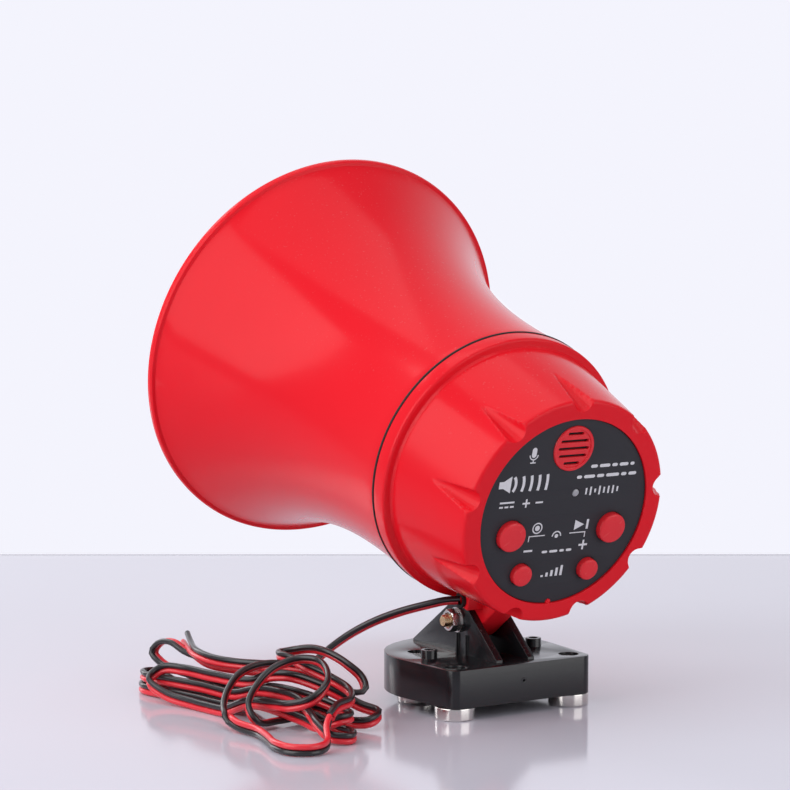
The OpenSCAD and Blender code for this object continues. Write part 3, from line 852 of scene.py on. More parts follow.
@dataclass
class TwinLead:
    """The red and black twin lead, from the grommet to its tied hank and cut ends."""

    core_d: float = 2.36
    core_pitch: float = 1.13
    sides: int = 12
    spacing: float = 2.0
    parted_length: float = 22.0
    parted_by: float = 0.9
    parting_curve: float = 1.6
    knot_step: float = 0.05
    settling: int = 6
    blend_reach: float = 0.036
    hank_at: tuple[float, float] = (90.0, 8.0)
    hank_turn: float = 100.0
    wrap_lift: float = 4.7
    wraps_at: float = 24.0
    wraps_reach: float = 17.0
    free_run: tuple[Corner, ...] = (
        (15, 44, 43), (20, 43, 43), (27, 38, 41), (34, 31, 38), (41, 24, 34),
        (48, 18, 29), (55, 15, 24), (62, 14, 19), (70, 14, 15),
    )

    def hank_axes(self) -> Axes:
        """Returns the hank's axes: x along it, y across it and z up from the table."""
        turn = math.radians(self.hank_turn)
        along = Vector((math.cos(turn), math.sin(turn), 0.0))
        return Axes(Vector((*self.hank_at, 0.0)) * MM, along, WORLD_UP.cross(along), WORLD_UP)

    def clear_of_wraps(self, along: float) -> float:
        """Returns how far the runs are lifted where the wraps pass under them."""
        return self.wrap_lift * math.exp(-((along - self.wraps_at) / self.wraps_reach) ** 4)

    def straight_runs(self) -> list[tuple[Stand, Sequence[Corner]]]:
        """Lists the hank's long runs and their folds, without the lift over the wraps.

        Returns:
            For each stretch, how the cores stand and its points in millimetres.
        """
        return [
            (Stand.ON_EDGE, [(-2, 14, 14.5), (-18, 11, 13.5), (-36, 10, 13.5)]),
            (Stand.ACROSS, [(-50, 10, 16), (-60, 10, 19), (-68, 10, 17.5), (-71, 9, 13.5),
                            (-66, 8.5, 10.5), (-54, 7, 8.6)]),
            (Stand.ON_EDGE, [(-24, 3, 7.5), (-3, 2.5, 7.5), (12, 2, 7.5), (38, 3, 7.5), (54, 4, 7.6),
                             (61, 0, 7.6), (60, -6, 6.8), (52, -8, 3.6), (40, -7, 2.5)]),
            (Stand.ON_EDGE, [(12, -6, 2.5), (-3, -6, 2.5), (-24, -6, 2.5), (-44, -7, 2.5),
                             (-57, -7, 2.5), (-63, -2.5, 2.5), (-58, 1.5, 2.5), (-44, 0, 2.5)]),
            (Stand.ON_EDGE, [(-24, -1.5, 2.5), (-3, -1.5, 2.5), (12, -1.5, 2.5), (38, -1.5, 2.5),
                             (56, -2, 2.5), (67, -4, 2.5), (72, -10, 2.5), (67, -15, 3),
                             (57, -13, 5.5), (48, -9, 7.8)]),
            (Stand.ON_EDGE, [(36, -5, 7.5), (12, -4, 7.4), (-3, -4, 7.4), (-24, -4, 7.4), (-44, -6, 7.4),
                             (-55, -7, 7.4), (-62, -3, 7.4), (-61, 2.5, 7), (-52, 5, 4), (-42, 5, 2.6)]),
            (Stand.ON_EDGE, [(-24, 4.5, 2.5), (-3, 4.5, 2.5), (12, 4.5, 2.5), (38, 6, 2.6), (48, 8, 2.8),
                             (58, 12, 3.5), (56, 19, 5.5), (46, 18, 7), (34, 11, 9), (20, 5, 12)]),
            (Stand.ON_EDGE, [(12, 1, 12.4), (4, -1, 12.3), (-18, -3, 12.4), (-36, -3, 12.4),
                             (-46, -6, 11.8), (-47, -12, 8), (-36, -13, 4),
                             (-20, -12, 2.5), (0, -12.5, 2.5)]),
        ]

    @staticmethod
    def wraps_and_tail() -> list[tuple[Stand, Sequence[Corner]]]:
        """Lists the two wraps, the loose loops and the tail.

        Returns:
            For each stretch, how the cores stand and its points in millimetres.
        """
        return [
            (Stand.ON_EDGE, [(16, -13, 8), (30, -12, 9.3), (41, -12.5, 10.5), (48, -8, 13)]),
            (Stand.LEANING, [(48, -1, 17.5), (42, 5, 21.5), (33, 8, 24), (25, 5, 24), (21, -4, 21),
                             (22, -14, 15), (26, -21, 9)]),
            (Stand.ALONG, [(30, -20, 3.6), (29, -10, 2.5), (27, 5, 2.5), (24, 17, 4), (20, 22, 9.5),
                           (16, 19, 15.5), (11, 12, 19.3)]),
            (Stand.LEANING, [(6, 3, 19.6), (5, -8, 17), (8, -17, 11), (14, -23, 6)]),
            (Stand.TURNED_OVER, [(25, -26.5, 3.2), (40, -28, 2.6), (52, -33, 2.5), (62, -38, 2.5),
                                 (72, -39, 2.5), (78, -33, 2.5), (76, -25, 3), (68, -18, 7.5)]),
            (Stand.ON_EDGE, [(62, -8, 12.3), (58, 3, 13), (48, 10.5, 14.5), (36, 12, 17),
                             (24, 9.5, 20.5)]),
            (Stand.LEANING, [(14, 9, 22.8), (8, 10, 22.6), (4.5, 13.5, 22.4), (8, 18, 23.6),
                             (16, 20, 25), (26, 20, 24.5)]),
            (Stand.ALONG, [(35, 21, 21.5), (41, 23.5, 16.5), (44, 22, 12.2), (40, 17, 12),
                           (32, 14.5, 15)]),
            (Stand.ON_EDGE, [(20, 13, 18.6), (4, 8.5, 18)]),
            (Stand.RISING, [(-10, 4, 17.5), (-26, 3, 17.3), (-40, 6, 18), (-51, 12, 18.5),
                            (-60, 17, 20)]),
        ]

    def route(self) -> list[tuple[Vector, Vector]]:
        """Lists the lead's whole route.

        Returns:
            Points in millimetres, each with the way from the red core to the black one.
        """
        axes = self.hank_axes()
        way = {}
        for stand in Stand:
            along, across, up = stand.value
            way[stand] = axes.x * along + axes.y * across + axes.z * up
        route = [(Vector(point), way[Stand.LEANING]) for point in self.free_run]
        for stand, points in self.straight_runs():
            for along, across, up in points:
                route.append((axes.at(along, across, up + self.clear_of_wraps(along)) / MM, way[stand]))
        for stand, points in self.wraps_and_tail():
            route += [(axes.at(*point) / MM, way[stand]) for point in points]
        return route

    def centre_line(self) -> tuple[np.ndarray, np.ndarray]:
        """Smooths the route into close, even steps.

        Returns:
            Points in millimetres, and at each one the way from the red core to the black.
        """
        route = self.route()
        knots = np.array([point for point, _ in route])
        ways = np.array([way for _, way in route])
        gaps = np.linalg.norm(np.diff(knots, axis=0), axis=1) ** 0.5
        times = np.concatenate([[0.0], np.cumsum(gaps)])
        slopes = np.gradient(knots, times, axis=0)
        line, sides = [], []
        for i in range(len(knots) - 1):
            width = times[i + 1] - times[i]
            for t in np.arange(0.0, 1.0, self.knot_step):
                leaving = (1 + 2 * t) * (1 - t) ** 2 * knots[i] + t * (1 - t) ** 2 * width * slopes[i]
                nearing = t * t * (3 - 2 * t) * knots[i + 1] + t * t * (t - 1) * width * slopes[i + 1]
                line.append(leaving + nearing)
                sides.append((1 - t) * ways[i] + t * ways[i + 1])
        line.append(knots[-1])
        sides.append(ways[-1])
        return self.even_steps(np.array(line), np.array(sides))

    def even_steps(self, line: np.ndarray, sides: np.ndarray) -> tuple[np.ndarray, np.ndarray]:
        """Spaces a line evenly, squares its side vectors to it and keeps the cores on the table.

        Args:
            line: Points in millimetres.
            sides: The wished way from red to black at each point.

        Returns:
            Evenly spaced points and unit side vectors.
        """
        lengths = np.concatenate([[0.0], np.cumsum(np.linalg.norm(np.diff(line, axis=0), axis=1))])
        count = int(lengths[-1] / self.spacing)
        marks = np.linspace(0.0, lengths[-1], count)
        even, wish = (np.stack([np.interp(marks, lengths, values[:, k]) for k in range(3)], axis=1)
                      for values in (line, sides))
        ahead = unit(np.gradient(even, axis=0))
        window = np.hanning(2 * self.settling + 1)
        padded = np.pad(square_to(ahead, wish), ((self.settling, self.settling), (0, 0)), mode="edge")
        settled = [np.convolve(padded[:, k], window / window.sum(), mode="valid") for k in range(3)]
        wish = unit(square_to(ahead, np.stack(settled, axis=1)))
        lowest = self.core_d / 2 + self.core_pitch * np.abs(wish[:, 2])
        even[:, 2] = np.maximum(even[:, 2], lowest)
        return even, wish

    def core(self, draft: MeshDraft, line: np.ndarray, sides: np.ndarray, sign: float, mark: int) -> None:
        """Adds one core's round tube, closed at both ends.

        Args:
            draft: The draft that gets it.
            line: The lead's centre line in millimetres.
            sides: The way from red to black at each point.
            sign: 1 for the black core, -1 for the red one.
            mark: Material number.
        """
        count = len(line)
        to_end = (count - 1 - np.arange(count)) * self.spacing
        parting = np.clip(1 - to_end / self.parted_length, 0, 1) ** self.parting_curve * self.parted_by
        middle = line + sides * (sign * (self.core_pitch + parting))[:, None]
        ahead = unit(np.gradient(middle, axis=0))
        out = unit(square_to(ahead, sides))
        over = np.cross(ahead, out)
        turns = [2 * math.pi * k / self.sides for k in range(self.sides)]
        points = []
        for i in range(count):
            for a in turns:
                spot = middle[i] + self.core_d / 2 * (math.cos(a) * out[i] + math.sin(a) * over[i])
                points.append(Vector(spot) * MM)
        first, last = range(self.sides), range((count - 1) * self.sides, count * self.sides)
        faces = [tuple(reversed(first)), tuple(last), *ring_faces(count, self.sides, closed=False)]
        draft.add(points, faces, mark)

    def build(self) -> None:
        line, sides = self.centre_line()
        draft = MeshDraft()
        self.core(draft, line, sides, 1.0, 0)
        self.core(draft, line, sides, -1.0, 1)
        cores = [PALETTE.lead.material(), PALETTE.red_lead.material()]
        lead = draft.finished("twin_lead", cores, crease=60.0, weld=0.0001)
        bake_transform(lead)
        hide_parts("power_lead", "lead_hank")


# ---------------------------------------------------------------- horn


@dataclass
class Horn:
    """The bell, its gasket, the rear casing and the sound path inside."""

    axes: Axes
    length: float = 185.0
    mouth_r: float = 84.0
    neck_r: float = 54.4
    wall: float = 2.2
    bell_rear: float = 50.6
    bell_floor: float = 2.8
    throat_r: float = 9.0
    waist: Point2 = (-2.0, 100.0)
    swell: Point2 = (3.5, 140.0)
    band_r: float = 54.8
    rear_r: float = 45.4
    panel_r: float = 38.0
    casing_front: float = 49.4
    gasket_bore: float = 40.5
    gasket_proud: float = 0.3
    joint_gap: float = 0.02
    rim_depth: float = 4.0
    notches: int = 9
    notch_r: float = 4.6
    notch_end_r: float = 0.5
    notch_length: float = 22.0
    notch_lean: float = 9.0
    notch_blend: float = 0.3
    hinge_drop: float = 63.5
    hinge_s: float = 43.0
    lug_r: float = 7.6
    lug_half: float = 5.8
    lug_bore_r: float = 3.5
    port_at: Corner = (0.0, -52.0, 37.0)
    port_depth: float = 13.0
    key_at: float = -37.5
    key_r: float = 1.2
    tube_front: float = 112.0
    tube_flange: Point2 = (25.0, 2.4)
    cup_r: float = 25.0
    cup_wall: float = 2.0
    cup_shoulder: float = 120.0
    cup_rear: float = 72.0
    dome_rise: Point2 = (13.0, 11.0)
    ribs: int = 3
    first_rib: float = 30.0
    rib_half: float = 1.0

    @property
    def sideways(self) -> Axes:
        """Axes with x forward along the horn, y up and z across it."""
        return Axes(self.axes.origin, self.axes.z, self.axes.y, -self.axes.x)

    def build(self) -> None:
        """Makes every visible piece of the horn."""
        self.make_bell()
        self.make_gasket()
        self.make_casing()
        self.make_throat_tube()
        self.make_reflector()

    def flare(self, inset: float, steps: int = 56) -> list[Point2]:
        """Returns the bell's flare from neck to mouth, moved inwards by an inset."""
        heights = (self.bell_rear + self.bell_floor, self.waist[1], self.swell[1],
                   self.length - self.rim_depth)
        radii = (self.neck_r, self.neck_r + self.waist[0], self.neck_r + self.swell[0],
                 self.mouth_r - self.wall)
        return [(bezier(radii, i / steps) - inset, bezier(heights, i / steps)) for i in range(steps + 1)]

    def make_bell(self) -> None:
        """Makes the flared bell with its rolled mouth rim."""
        front, rim, rear = self.length, self.mouth_r, self.bell_rear
        outside, inside = self.flare(0), self.flare(self.wall)
        back = rounded([(self.throat_r, rear, 0.0), (self.neck_r, rear, 0.6), outside[0] + (0.0,)],
                       closed=False)
        lip = rounded([outside[-2] + (0.0,), (rim - 1.9, front - self.rim_depth, 0.3),
                       (rim - 0.5, front - 3.7, 0.5), (rim, front - 2.6, 0.9), (rim, front - 0.4, 0.9),
                       (rim - 2.0, front, 0.8), inside[-2] + (0.0,)], closed=False)
        outline = back[:-1] + outside[:-1] + lip[1:-1] + inside[-2::-1]
        draft = MeshDraft()
        draft.revolve(self.axes, outline + [(self.throat_r, rear + self.bell_floor)], columns=240)
        place_piece(draft, "horn_bell", [PALETTE.red_abs], "horn", "red_abs", "bell", crease=50.0)

    def make_gasket(self) -> None:
        """Makes the soft ring between the casing and the bell."""
        rear, front = self.casing_front + self.joint_gap, self.bell_rear - self.joint_gap
        bore, out = self.gasket_bore, self.band_r + self.gasket_proud
        ring = rounded([(bore, rear, 0), (out, rear, 0.5), (out, front, 0.5), (bore, front, 0)])
        draft = MeshDraft()
        draft.revolve(self.axes, ring, columns=180)
        place_piece(draft, "neck_gasket", [PALETTE.soft_black], "horn", "soft_black", "bell_gasket")

    def scooped(self, radius: float, height: float, angle: float) -> Point2:
        """Presses the scooped notches into the casing's outside.

        Args:
            radius: The casing's radius before the notches, in millimetres.
            height: Distance forward of the panel's face.
            angle: Angle round the horn in radians.

        Returns:
            The new radius and the same height.
        """
        step = 2 * math.pi / self.notches
        off = (angle - math.pi / 2 + step / 2) % step - step / 2
        beside = radius * math.sin(off)
        lean = math.radians(self.notch_lean)
        from_start = height + 1.2
        open_r = self.notch_r - (self.notch_r - self.notch_end_r) * from_start / self.notch_length
        if radius < self.panel_r + 0.6 or from_start > self.notch_length or abs(beside) >= open_r:
            return radius, height
        floor = self.rear_r + from_start * math.tan(lean) - math.sqrt(open_r ** 2 - beside ** 2)
        wanted = floor / math.cos(off)
        blend = self.notch_blend
        h = max(0.0, min(1.0, 0.5 + 0.5 * (wanted - radius) / blend))
        return wanted * (1 - h) + radius * h - blend * h * (1 - h), height

    def make_casing(self) -> None:
        """Makes the rear casing, its hinge lug, lead port and panel key."""
        out, front = self.panel_r, self.casing_front
        corners = [
            (out, -0.8, 0.25), (self.rear_r, -0.8, 1.8), (51.3, 41.0, 0.5), (51.9, 42.2, 0.3),
            (self.band_r, 42.4, 1.3), (self.band_r, front, 0.25), (40.0, front, 0), (40.0, 46.8, 0),
            (50.0, 46.8, 0), (48.4, 40.6, 0), (44.0, 24.0, 0), (38.8, 4.4, 0), (35.5, 4.4, 0),
            (35.5, 2.1, 0), (out, 2.1, 0),
        ]
        draft = MeshDraft()
        draft.revolve(self.axes, self.dense(rounded(corners)), columns=540, shape=self.scooped)
        self.add_lug(draft)
        port = replace(self.sideways, origin=self.axes.at(*self.port_at))
        block = rounded([(-4.5, -2.8, 0.6), (4.5, -2.8, 0.6), (4.5, 4.2, 0), (-4.5, 4.2, 0)])
        draft.cut_sheet(port, [block], -self.port_depth, 0.0, 0.3)
        key = rounded([(0.0, -0.3, 0), (self.key_r, -0.3, 0.3), (self.key_r, 2.2, 0), (0.0, 2.2, 0)])
        draft.revolve(self.axes.moved(0.0, self.key_at, 0.0), key, columns=32)
        place_piece(draft, "casing_shell", [PALETTE.red_abs], "horn", "red_abs", "rear_casing",
                    crease=42.0, weld=0.002)

    def dense(self, outline: Sequence[Point2], step: float = 0.8, last: float = 24.0) -> list[Point2]:
        """Adds points to the outside of the outline where the notches lie."""
        dense: list[Point2] = []
        for (r0, s0), (r1, s1) in zip(outline, [*outline[1:], outline[0]]):
            dense.append((r0, s0))
            parts = int(math.hypot(r1 - r0, s1 - s0) / step)
            if min(r0, r1) > self.panel_r - 0.1 and min(s0, s1) < last and r1 >= r0:
                dense += [(r0 + (r1 - r0) * k / parts, s0 + (s1 - s0) * k / parts)
                          for k in range(1, parts)]
        return dense

    def add_lug(self, draft: MeshDraft) -> None:
        """Adds the hinge lug that drops from the casing between the base's ears."""
        points = circle(self.hinge_s, -self.hinge_drop, self.lug_r, 48)
        points += [(20.0, -46.5), (44.0, -46.5), (44.0, -44.5), (20.0, -44.5), (45.0, -52.5),
                   (42.0, -52.5)]
        outline = [points[i] for i in geometry.convex_hull_2d([Vector(p) for p in points])]
        bore = circle(self.hinge_s, -self.hinge_drop, self.lug_bore_r, 32)
        draft.cut_sheet(self.sideways, [outline, bore], -self.lug_half, self.lug_half, 0.7)

    def make_throat_tube(self) -> None:
        """Makes the tube that leads the sound into the reflector."""
        back, rear, front = self.bell_rear, self.bell_rear + self.bell_floor, self.tube_front
        flange_r, flange_t = self.tube_flange
        tube = rounded([(7.0, back, 0), (8.8, back, 0), (8.8, rear, 0), (flange_r, rear, 0.2),
                        (flange_r, rear + flange_t, 0.6), (10.5, rear + flange_t, 1.5),
                        (14.8, front, 0.8), (13.0, front, 0.8), (7.0, rear, 0)])
        draft = MeshDraft()
        draft.revolve(self.axes, tube)
        place_piece(draft, "sound_tube", [PALETTE.inner_plastic], "horn", "inner_plastic", "throat_tube")

    def make_reflector(self) -> None:
        """Makes the red reflector cup and the ribs that hold it."""
        rear, shoulder, steps = self.cup_rear, self.cup_shoulder, 14
        turns = [math.pi / 2 * i / steps for i in range(steps + 1)]
        outer_rise, inner_rise = self.dome_rise
        outer = [(self.cup_r * math.cos(a), shoulder + outer_rise * math.sin(a)) for a in turns]
        inside_r = self.cup_r - self.cup_wall
        inner = [(inside_r * math.cos(a), shoulder + inner_rise * math.sin(a)) for a in reversed(turns)]
        lip = rounded([(27.0, rear + 6, 0), (27.0, rear, 0.7), (29.0, rear, 0.9), (28.5, rear + 6, 0)],
                      closed=False)
        fin = rounded([(78.0, 12.0, 0), (78.0, 27.5, 1.0), (108.0, 25.0, 1.0), (108.0, 14.0, 0)])
        draft = MeshDraft()
        draft.revolve(self.axes, lip + outer + inner, columns=144)
        for rib in range(self.ribs):
            turn = math.radians(self.first_rib + 360 / self.ribs * rib)
            out = self.axes.x * math.cos(turn) + self.axes.y * math.sin(turn)
            side = Axes(self.axes.origin, self.axes.z, out, self.axes.z.cross(out))
            draft.cut_sheet(side, [fin], -self.rib_half, self.rib_half, 0.3)
        place_piece(draft, "reflector_shell", [PALETTE.red_abs], "horn", "red_abs", "reflector_cup",
                    crease=50.0)


# ---------------------------------------------------------------- control panel


@dataclass
class ControlPanel:
    """The printed panel with its grille, lens and four buttons."""

    axes: Axes
    radius: float = 37.8
    thickness: float = 2.0
    large_r: float = 6.0
    small_r: float = 4.3
    grille_r: float = 9.2
    slot_pitch: float = 3.0
    slot_w: float = 1.15
    key_r: float = 1.25
    key_in: float = 0.3
    lens_r: float = 1.5
    gap: float = 0.2
    grille_at: Point2 = (0.6, 26.0)
    lens_at: Point2 = (-4.2, 7.4)
    ink_t: float = 0.05
    ink_root: float = 0.02

    @property
    def buttons(self) -> dict[str, Corner]:
        """Each button's place across and up the panel, and its radius."""
        return {"record_button": (23.3, -8.0, self.large_r), "play_button": (-23.3, -8.0, self.large_r),
                "volume_down_button": (15.5, -24.6, self.small_r),
                "volume_up_button": (-15.5, -24.6, self.small_r)}

    def build(self) -> None:
        """Makes every piece of the panel."""
        self.make_sheet()
        self.make_print()
        self.make_grille()
        self.make_lens()
        for name, (x, y, radius) in self.buttons.items():
            self.make_button(name, x, y, radius)

    def make_sheet(self) -> None:
        """Makes the grey panel with its holes."""
        outlines = [self.notched_edge()]
        for x, y, radius in self.buttons.values():
            outlines.append(circle(x, y, radius + self.gap, 64))
        outlines.append(circle(*self.grille_at, self.grille_r, 80))
        outlines.append(circle(*self.lens_at, self.lens_r + self.gap, 32))
        draft = MeshDraft()
        draft.cut_sheet(self.axes, outlines, 0.0, self.thickness, 0.12)
        place_piece(draft, "panel_sheet", [PALETTE.panel], "horn", "panel", "control_panel", crease=50.0)

    def notched_edge(self, steps: int = 180) -> list[Point2]:
        """Returns the panel's outline with the notch that fits the casing's key."""
        half = self.key_r / self.radius
        edge = arc(0.0, 0.0, self.radius, half - math.pi / 2, 2 * math.pi - 2 * half, steps)
        return edge + arc(0.0, self.key_in - self.radius, self.key_r, math.pi, -math.pi, 12)

    @staticmethod
    def greeked(x: float, y: float, widths: Sequence[float], height: float) -> list[list[Point2]]:
        """Returns a line of plain dashes that runs from x towards the panel's right.

        Args:
            x: Where the line starts.
            y: The line's middle.
            widths: Length of each dash.
            height: Height of a dash.

        Returns:
            One outline for each dash.
        """
        dashes = []
        for width in widths:
            dashes.append(slot(x - width / 2, y, width, height, 4))
            x -= width + 0.9
        return dashes

    def make_print(self) -> None:
        """Makes the white print: plain symbols for microphone, sound, supply, record, play and volume."""
        marks: list[list[Point2]] = []
        marks += self.microphone(18.5, 24.4, 0.62)
        marks += self.greeked(-9.2, 18.0, (3.2, 5.0, 2.6, 4.2, 2.0), 1.3)
        marks += self.greeked(-3.4, 13.9, (2.4, 5.2, 3.4, 6.2, 2.6, 3.8), 1.3)
        marks += self.level_bars(-9.0, 7.8, 8)
        marks += self.loudspeaker(29.6, 13.0)
        marks += self.supply(30.5, 4.8)
        marks += [circle(11.0, -6.0, 2.3, 48), circle(11.0, -6.0, 1.8, 48), circle(11.0, -6.0, 1.1, 40)]
        marks += [[(-6.4, -3.9), (-10.8, -6.0), (-6.4, -8.1)], stroke((-12.4, -4.0), (-12.4, -8.0), 1.0)]
        marks += [self.bracket(14.4, 7.0), self.bracket(-12.1, -4.6)]
        marks += self.press_mark(1.4, -9.4)
        marks += self.greeked(7.0, -16.2, (2.6, 3.8, 2.2, 2.6), 1.0)
        marks += [stroke((15.6, -15.2), (11.6, -15.2), 0.8)]
        marks += [self.plus(-12.0, -14.6, 2.0, 0.4)]
        marks += self.level_ramp(0.6, -24.6)
        draft = MeshDraft()
        draft.cut_sheet(self.axes, marks, -self.ink_t, self.ink_root)
        place_piece(draft, "panel_print", [PALETTE.ink], "horn", "panel")

    @staticmethod
    def bracket(outer: float, inner: float, width: float = 0.4) -> list[Point2]:
        """Returns the fine line from a button up to its symbol, from outer to inner x."""
        beside = outer - math.copysign(width, outer)
        top, foot = -9.0, -11.4
        return [(outer, foot), (outer, top), (inner, top), (inner, top - width), (beside, top - width),
                (beside, foot)]

    @staticmethod
    def plus(x: float, y: float, reach: float, half: float) -> list[Point2]:
        """Returns a plus sign."""
        side = [(half, half), (half, reach), (-half, reach), (-half, half), (-reach, half), (-reach, -half)]
        return [(x + px, y + py) for px, py in side] + [(x - px, y - py) for px, py in side]

    @staticmethod
    def microphone(x: float, y: float, scale: float) -> list[list[Point2]]:
        """Returns a microphone: a capsule in a cradle on a stem."""
        cradle = arc_band(0, 0, (3.3, 2.6), math.pi, math.pi, 14)
        capsule = [(py, 1.6 + px) for px, py in slot(0, 0, 6.6, 3.4)]
        parts = [capsule, cradle, stroke((0, -3.4), (0, -4.6), 0.7), stroke((-2, -5), (2, -5), 0.7)]
        return [[(x + scale * px, y + scale * py) for px, py in part] for part in parts]

    @staticmethod
    def loudspeaker(x: float, y: float) -> list[list[Point2]]:
        """Returns a horn symbol with sound waves of one height."""
        horn = [(x + 2.6, y + 1.4), (x + 0.6, y + 1.4), (x - 2.8, y + 3.4), (x - 2.8, y - 3.4),
                (x + 0.6, y - 1.4), (x + 2.6, y - 1.4)]
        waves = []
        for reach in (5.6, 9.2, 12.8, 16.4, 20.0):
            half = math.asin(3.3 / reach)
            waves.append(arc_band(x, y, (reach, reach - 1.2), math.pi - half, 2 * half, 10))
        return [horn, *waves]

    def supply(self, x: float, y: float) -> list[list[Point2]]:
        """Returns the direct-current mark: a line over three dashes, then plus and minus."""
        line = [stroke((x, y + 0.9), (x - 6.6, y + 0.9), 0.7)]
        dashes = [stroke((x - 2.45 * k, y - 0.9), (x - 2.45 * k - 1.7, y - 0.9), 0.7) for k in range(3)]
        signs = [self.plus(x - 12.2, y, 1.7, 0.35), stroke((x - 16.5, y), (x - 19.9, y), 0.7)]
        return line + dashes + signs

    @staticmethod
    def level_bars(x: float, y: float, count: int) -> list[list[Point2]]:
        """Returns a row of upright bars like a sound level."""
        heights = [0.7 + 1.1 * abs(math.sin(1.3 * k + 0.6)) for k in range(count)]
        return [stroke((x - 2.1 * k, y - h), (x - 2.1 * k, y + h), 0.75) for k, h in enumerate(heights)]

    @staticmethod
    def press_mark(x: float, y: float) -> list[list[Point2]]:
        """Returns a dot under an arch, for a long press."""
        arch = arc_band(x, y - 0.6, (2.2, 1.7), 0.0, math.pi, 12)
        return [arch, circle(x, y - 0.5, 0.8, 24)]

    @staticmethod
    def level_ramp(x: float, y: float) -> list[list[Point2]]:
        """Returns rising bars for the volume."""
        places = [x + 4.4 - 2.2 * k for k in range(5)]
        return [stroke((at, y - 2.1), (at, y - 1.3 + 0.85 * k), 1.1) for k, at in enumerate(places)]

    def make_grille(self) -> None:
        """Makes the slotted red grille with the dark cloth behind it."""
        outlines = [circle(0, 0, self.grille_r - 1.2, 72)]
        for row in range(-2, 3):
            level = self.slot_pitch * row
            length = 2 * math.sqrt((self.grille_r - 2.2) ** 2 - level ** 2)
            outlines.append(slot(0, level, length, self.slot_w))
        axes = self.axes.moved(*self.grille_at, 0.0)
        draft = MeshDraft()
        draft.cut_sheet(axes, outlines, -0.25, 1.1, 0.15)
        edge = self.grille_r - 0.06
        ring = rounded([(edge - 1.5, -0.2, 0), (edge - 1.3, -0.7, 0.25), (edge - 0.3, -0.7, 0.3),
                        (edge, -0.2, 0.2), (edge, 1.9, 0), (edge - 1.5, 1.9, 0)])
        draft.revolve(axes, ring, columns=80)
        cloth = [(0.0, 1.15), (edge - 1.2, 1.15), (edge - 1.2, 1.6), (0.0, 1.6)]
        draft.revolve(axes, cloth, columns=48, mark=1)
        place_piece(draft, "slotted_grille", [PALETTE.red_button, PALETTE.soft_black], "horn", "red_abs",
                    "mic_grille")

    def make_lens(self) -> None:
        """Makes the small domed lens of the indicator."""
        r = self.lens_r
        turns = [math.pi / 16 * i for i in range(9)]
        dome = [(r * math.sin(a), 0.15 - 0.5 * math.cos(a)) for a in turns]
        draft = MeshDraft()
        draft.revolve(self.axes.moved(*self.lens_at, 0.0), dome + [(r, 1.2), (0.0, 1.2)], columns=48)
        place_piece(draft, "lens_dome", [PALETTE.lens], "horn", "lens", "indicator_lens")

    def make_button(self, name: str, x: float, y: float, radius: float) -> None:
        """Makes one push button with a soft domed cap, collar and plunger.

        Args:
            name: The frame's node and body that it stands for.
            x: Its place across the panel.
            y: Its place up the panel.
            radius: The cap's radius.
        """
        back, collar, plunger_r, end = self.thickness + 0.1, radius + 0.8, 1.6, 7.0
        cap = rounded([(0.0, -2.8, 0), (radius * 0.55, -2.76, 1.0), (radius, -2.45, 1.1), (radius, back, 0),
                       (collar, back, 0), (collar, back + 1, 0), (plunger_r, back + 1, 0),
                       (plunger_r, end, 0), (0.0, end, 0)], steps=8)
        draft = MeshDraft()
        draft.revolve(self.axes.moved(x, y, 0.0), cap)
        place_piece(draft, name.replace("button", "cap"), [PALETTE.red_button], name, "red_button", name)


# ---------------------------------------------------------------- base and hinge


